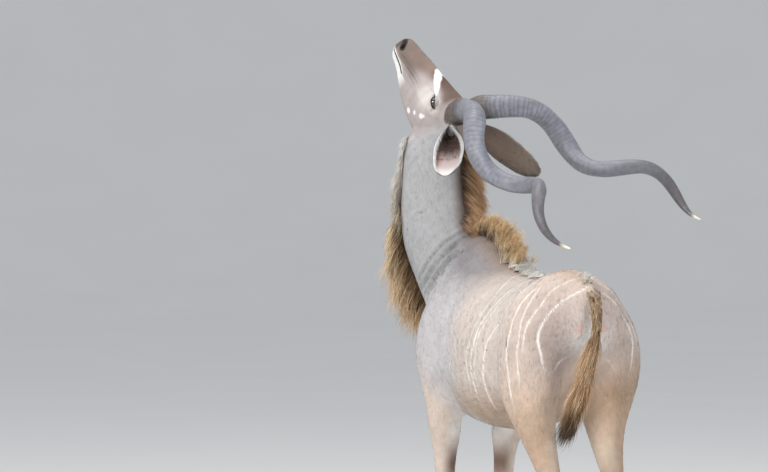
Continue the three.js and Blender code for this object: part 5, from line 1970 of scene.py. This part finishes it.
def make_horn_ruff():
    """Hair of the brow stands close round the roots of the horns and hides where they leave the skin."""
    path, shares = horn_path()
    path, shares = path[shares < 0.09], shares[shares < 0.09]
    along = unit(np.gradient(path, axis=0))
    first = unit(np.cross(np.array([0, 1, 0.5]), along))
    second = np.cross(along, first)
    q, q_way = to_head(points), n @ HEAD_AXES.T
    near = (np.linalg.norm(q - path[20], axis=1) < 0.12) & (q[:, 0] > 0)
    q, q_way = q[near], q_way[near]
    # For each turn round the horn, the last step of its path that still lies in the skin.
    turns = np.linspace(0, 2 * math.pi, 48, endpoint=False)
    thin = 1 - 0.2 * smooth(0, -0.06, shares)
    reach = HORN_RADIUS[0] * 1.03 * thin[:, None]
    last = []
    for turn in turns:
        ring = path + reach * (first * math.cos(turn) + second * math.sin(turn))
        nearest = ((ring[:, None] - q[None]) ** 2).sum(-1).argmin(1)
        inside = dot(ring - q[nearest], q_way[nearest])[:, 0] < 0
        last.append(np.flatnonzero(inside).max() if inside.any() else 0)
    last = np.array(last)
    count = int(1100 * MORE)
    for side, name in ((1, "left"), (-1, "right")):
        flip = np.array([side, 1, 1])
        pick = rng.integers(0, len(turns), count)
        turn = turns[pick] + rng.uniform(-0.07, 0.07, count)
        step = np.clip(last[pick] - rng.integers(0, 2, count), 0, len(path) - 1)
        out = first[step] * np.cos(turn)[:, None] + second[step] * np.sin(turn)[:, None]
        keel = np.maximum(0, np.cos(turn - horn_angle(shares[step]))) ** 6
        away = HORN_RADIUS[0] * thin[step] * (1 + HORN_KEEL * keel) + rng.uniform(-1.0, 1.5, count) * MM
        root = path[step] + out * away[:, None]
        start = along[step] + out * 0.3 + rng.normal(0, 0.12, (count, 3))
        end = along[step] - out * 0.06 + rng.normal(0, 0.14, (count, 3))
        length = rng.uniform(10, 20, count) * MM
        tone = shades(((104, 84, 70), (164, 156, 150)), smooth(-0.2, 0.6, -out[:, 1]))
        tone = tone * rng.uniform(0.8, 1.2, count)[:, None]
        uv = unwrap_at("head", np.full(count, 0.22), np.arctan2(out[:, 1], out[:, 0] * side))
        strands("horn_ruff_" + name, from_head(root * flip), head_way(start * flip),
                head_way(end * flip), length, np.full(count, 1.2 * MM), tone * 0.9, tone * 1.15, uv, 0.08, 4)


make_horn_ruff()

# The skin stands for all the nodes of flesh.
flesh = ["torso", "neck", "head", "tail"]
flesh += ["%s_%s_%s" % (kind, name, part) for kind in ("foreleg", "hindleg")
          for name in ("left", "right") for part in ("upper", "lower")]
finish_piece(skin, skin_material, flesh)


# The stage: a pale floor that runs up into a pale wall far off, all round.

def make_stage():
    material, tree, shader = new_material("studio_floor")
    place = node(tree, "ShaderNodeTexCoord").outputs["Object"]
    noise = mapped_noise(tree, place, (1, 1, 1), 1.2, 3.0)
    colour = colour_ramp(tree, noise, [(0, (0.74, 0.74, 0.735)), (1, (0.78, 0.78, 0.77))])
    tree.links.new(colour, shader.inputs["Base Color"])
    shader.inputs["Roughness"].default_value = 0.85
    shader.inputs["Specular IOR Level"].default_value = 0.2
    turn = np.linspace(0, 2 * math.pi, 96, endpoint=False)
    floor_rings = [0.5, 2, 4, 8, 14, 20]
    wall = [(20 + 9 * math.sin(a), 9 - 9 * math.cos(a)) for a in np.linspace(0, math.pi / 2, 14)]
    wall += [(29, 12), (29, 18)]
    for name, profile in (("floor", [(r, 0.0) for r in floor_rings]), ("wall", wall)):
        rings = np.array([[(r * math.cos(a), r * math.sin(a), z) for a in turn] for r, z in profile])
        points = rings.reshape(-1, 3)
        rows, sides = rings.shape[:2]
        index = np.arange(rows * sides).reshape(rows, sides)
        after = np.roll(index, -1, axis=1)
        faces = np.stack([index[:-1], index[1:], after[1:], after[:-1]], -1).reshape(-1, 4).tolist()
        if name == "floor":
            faces.append(index[0].tolist())
        obj = new_object(name, points, faces)
        obj.data.materials.append(material)
        shade_smooth(obj.data)
        if name == "wall":
            obj.visible_shadow = False
            obj.visible_diffuse = False
            obj.visible_glossy = False


make_stage()


def placed(side, top, behind, at):
    """The place of a light or camera that looks away from what is behind it."""
    rows = [[side[k], top[k], behind[k], at[k]] for k in range(3)]
    return Matrix(rows + [[0, 0, 0, 1]])


def area_light(name, at, look, size, power, colour):
    light = bpy.data.lights.new(name, "AREA")
    light.size = size
    light.energy = power
    light.color = colour
    obj = bpy.data.objects.new(name, light)
    bpy.context.scene.collection.objects.link(obj)
    at, look = np.array(at, float), np.array(look, float)
    back = unit(at - look)
    right = unit(np.cross(UP, back))
    up = np.cross(back, right)
    obj.matrix_world = placed(right, up, back, at)


AZIMUTH, ELEVATION, DISTANCE = math.radians(159), math.radians(2), 15.0
back = np.array([
    math.sin(AZIMUTH) * math.cos(ELEVATION), -math.cos(AZIMUTH) * math.cos(ELEVATION), math.sin(ELEVATION)
])
right = np.array([math.cos(AZIMUTH), math.sin(AZIMUTH), 0])
middle = np.array([0, 0, 1.45]) + OFFSET
level_back = unit(back * [1, 1, 0])

area_light("key", middle + level_back * 4.8 - right * 4.2 + UP * 3.6, middle, 3.0, 430, (1.0, 0.99, 0.97))
area_light("fill", middle + level_back * 5.0 + right * 5.0 + UP * 2.0, middle, 5.0, 110, (0.95, 0.97, 1.0))
area_light("top", middle - level_back * 1.0 + UP * 5.0, middle, 4.0, 170, (1.0, 1.0, 1.0))

world = bpy.data.worlds.new("studio")
world.use_nodes = True
world.node_tree.nodes["Background"].inputs["Color"].default_value = (0.93, 0.96, 1.0, 1)
world.node_tree.nodes["Background"].inputs["Strength"].default_value = 0.62
scene = bpy.context.scene
scene.world = world
scene.view_settings.view_transform = "Standard"
scene.view_settings.look = "None"

# The camera stands behind the animal on its left, a little above its back, and turns to frame it.
FOCAL = 4125.0
camera = bpy.data.cameras.new("camera")
camera.sensor_width = 36.0
camera.lens = FOCAL / 768 * 36
camera.clip_end = 200
eye = middle + back * DISTANCE
aside, down = math.atan(140 / FOCAL), math.atan(-7 / FOCAL)
ahead = unit(-back * math.cos(aside) - right * math.sin(aside))
across = unit(np.cross(ahead, UP))
over = np.cross(across, ahead)
ahead = unit(ahead * math.cos(down) + over * math.sin(down))
over = np.cross(across, ahead)
holder = bpy.data.objects.new("camera", camera)
scene.collection.objects.link(holder)
holder.matrix_world = placed(across, over, -ahead, eye)
scene.camera = holder
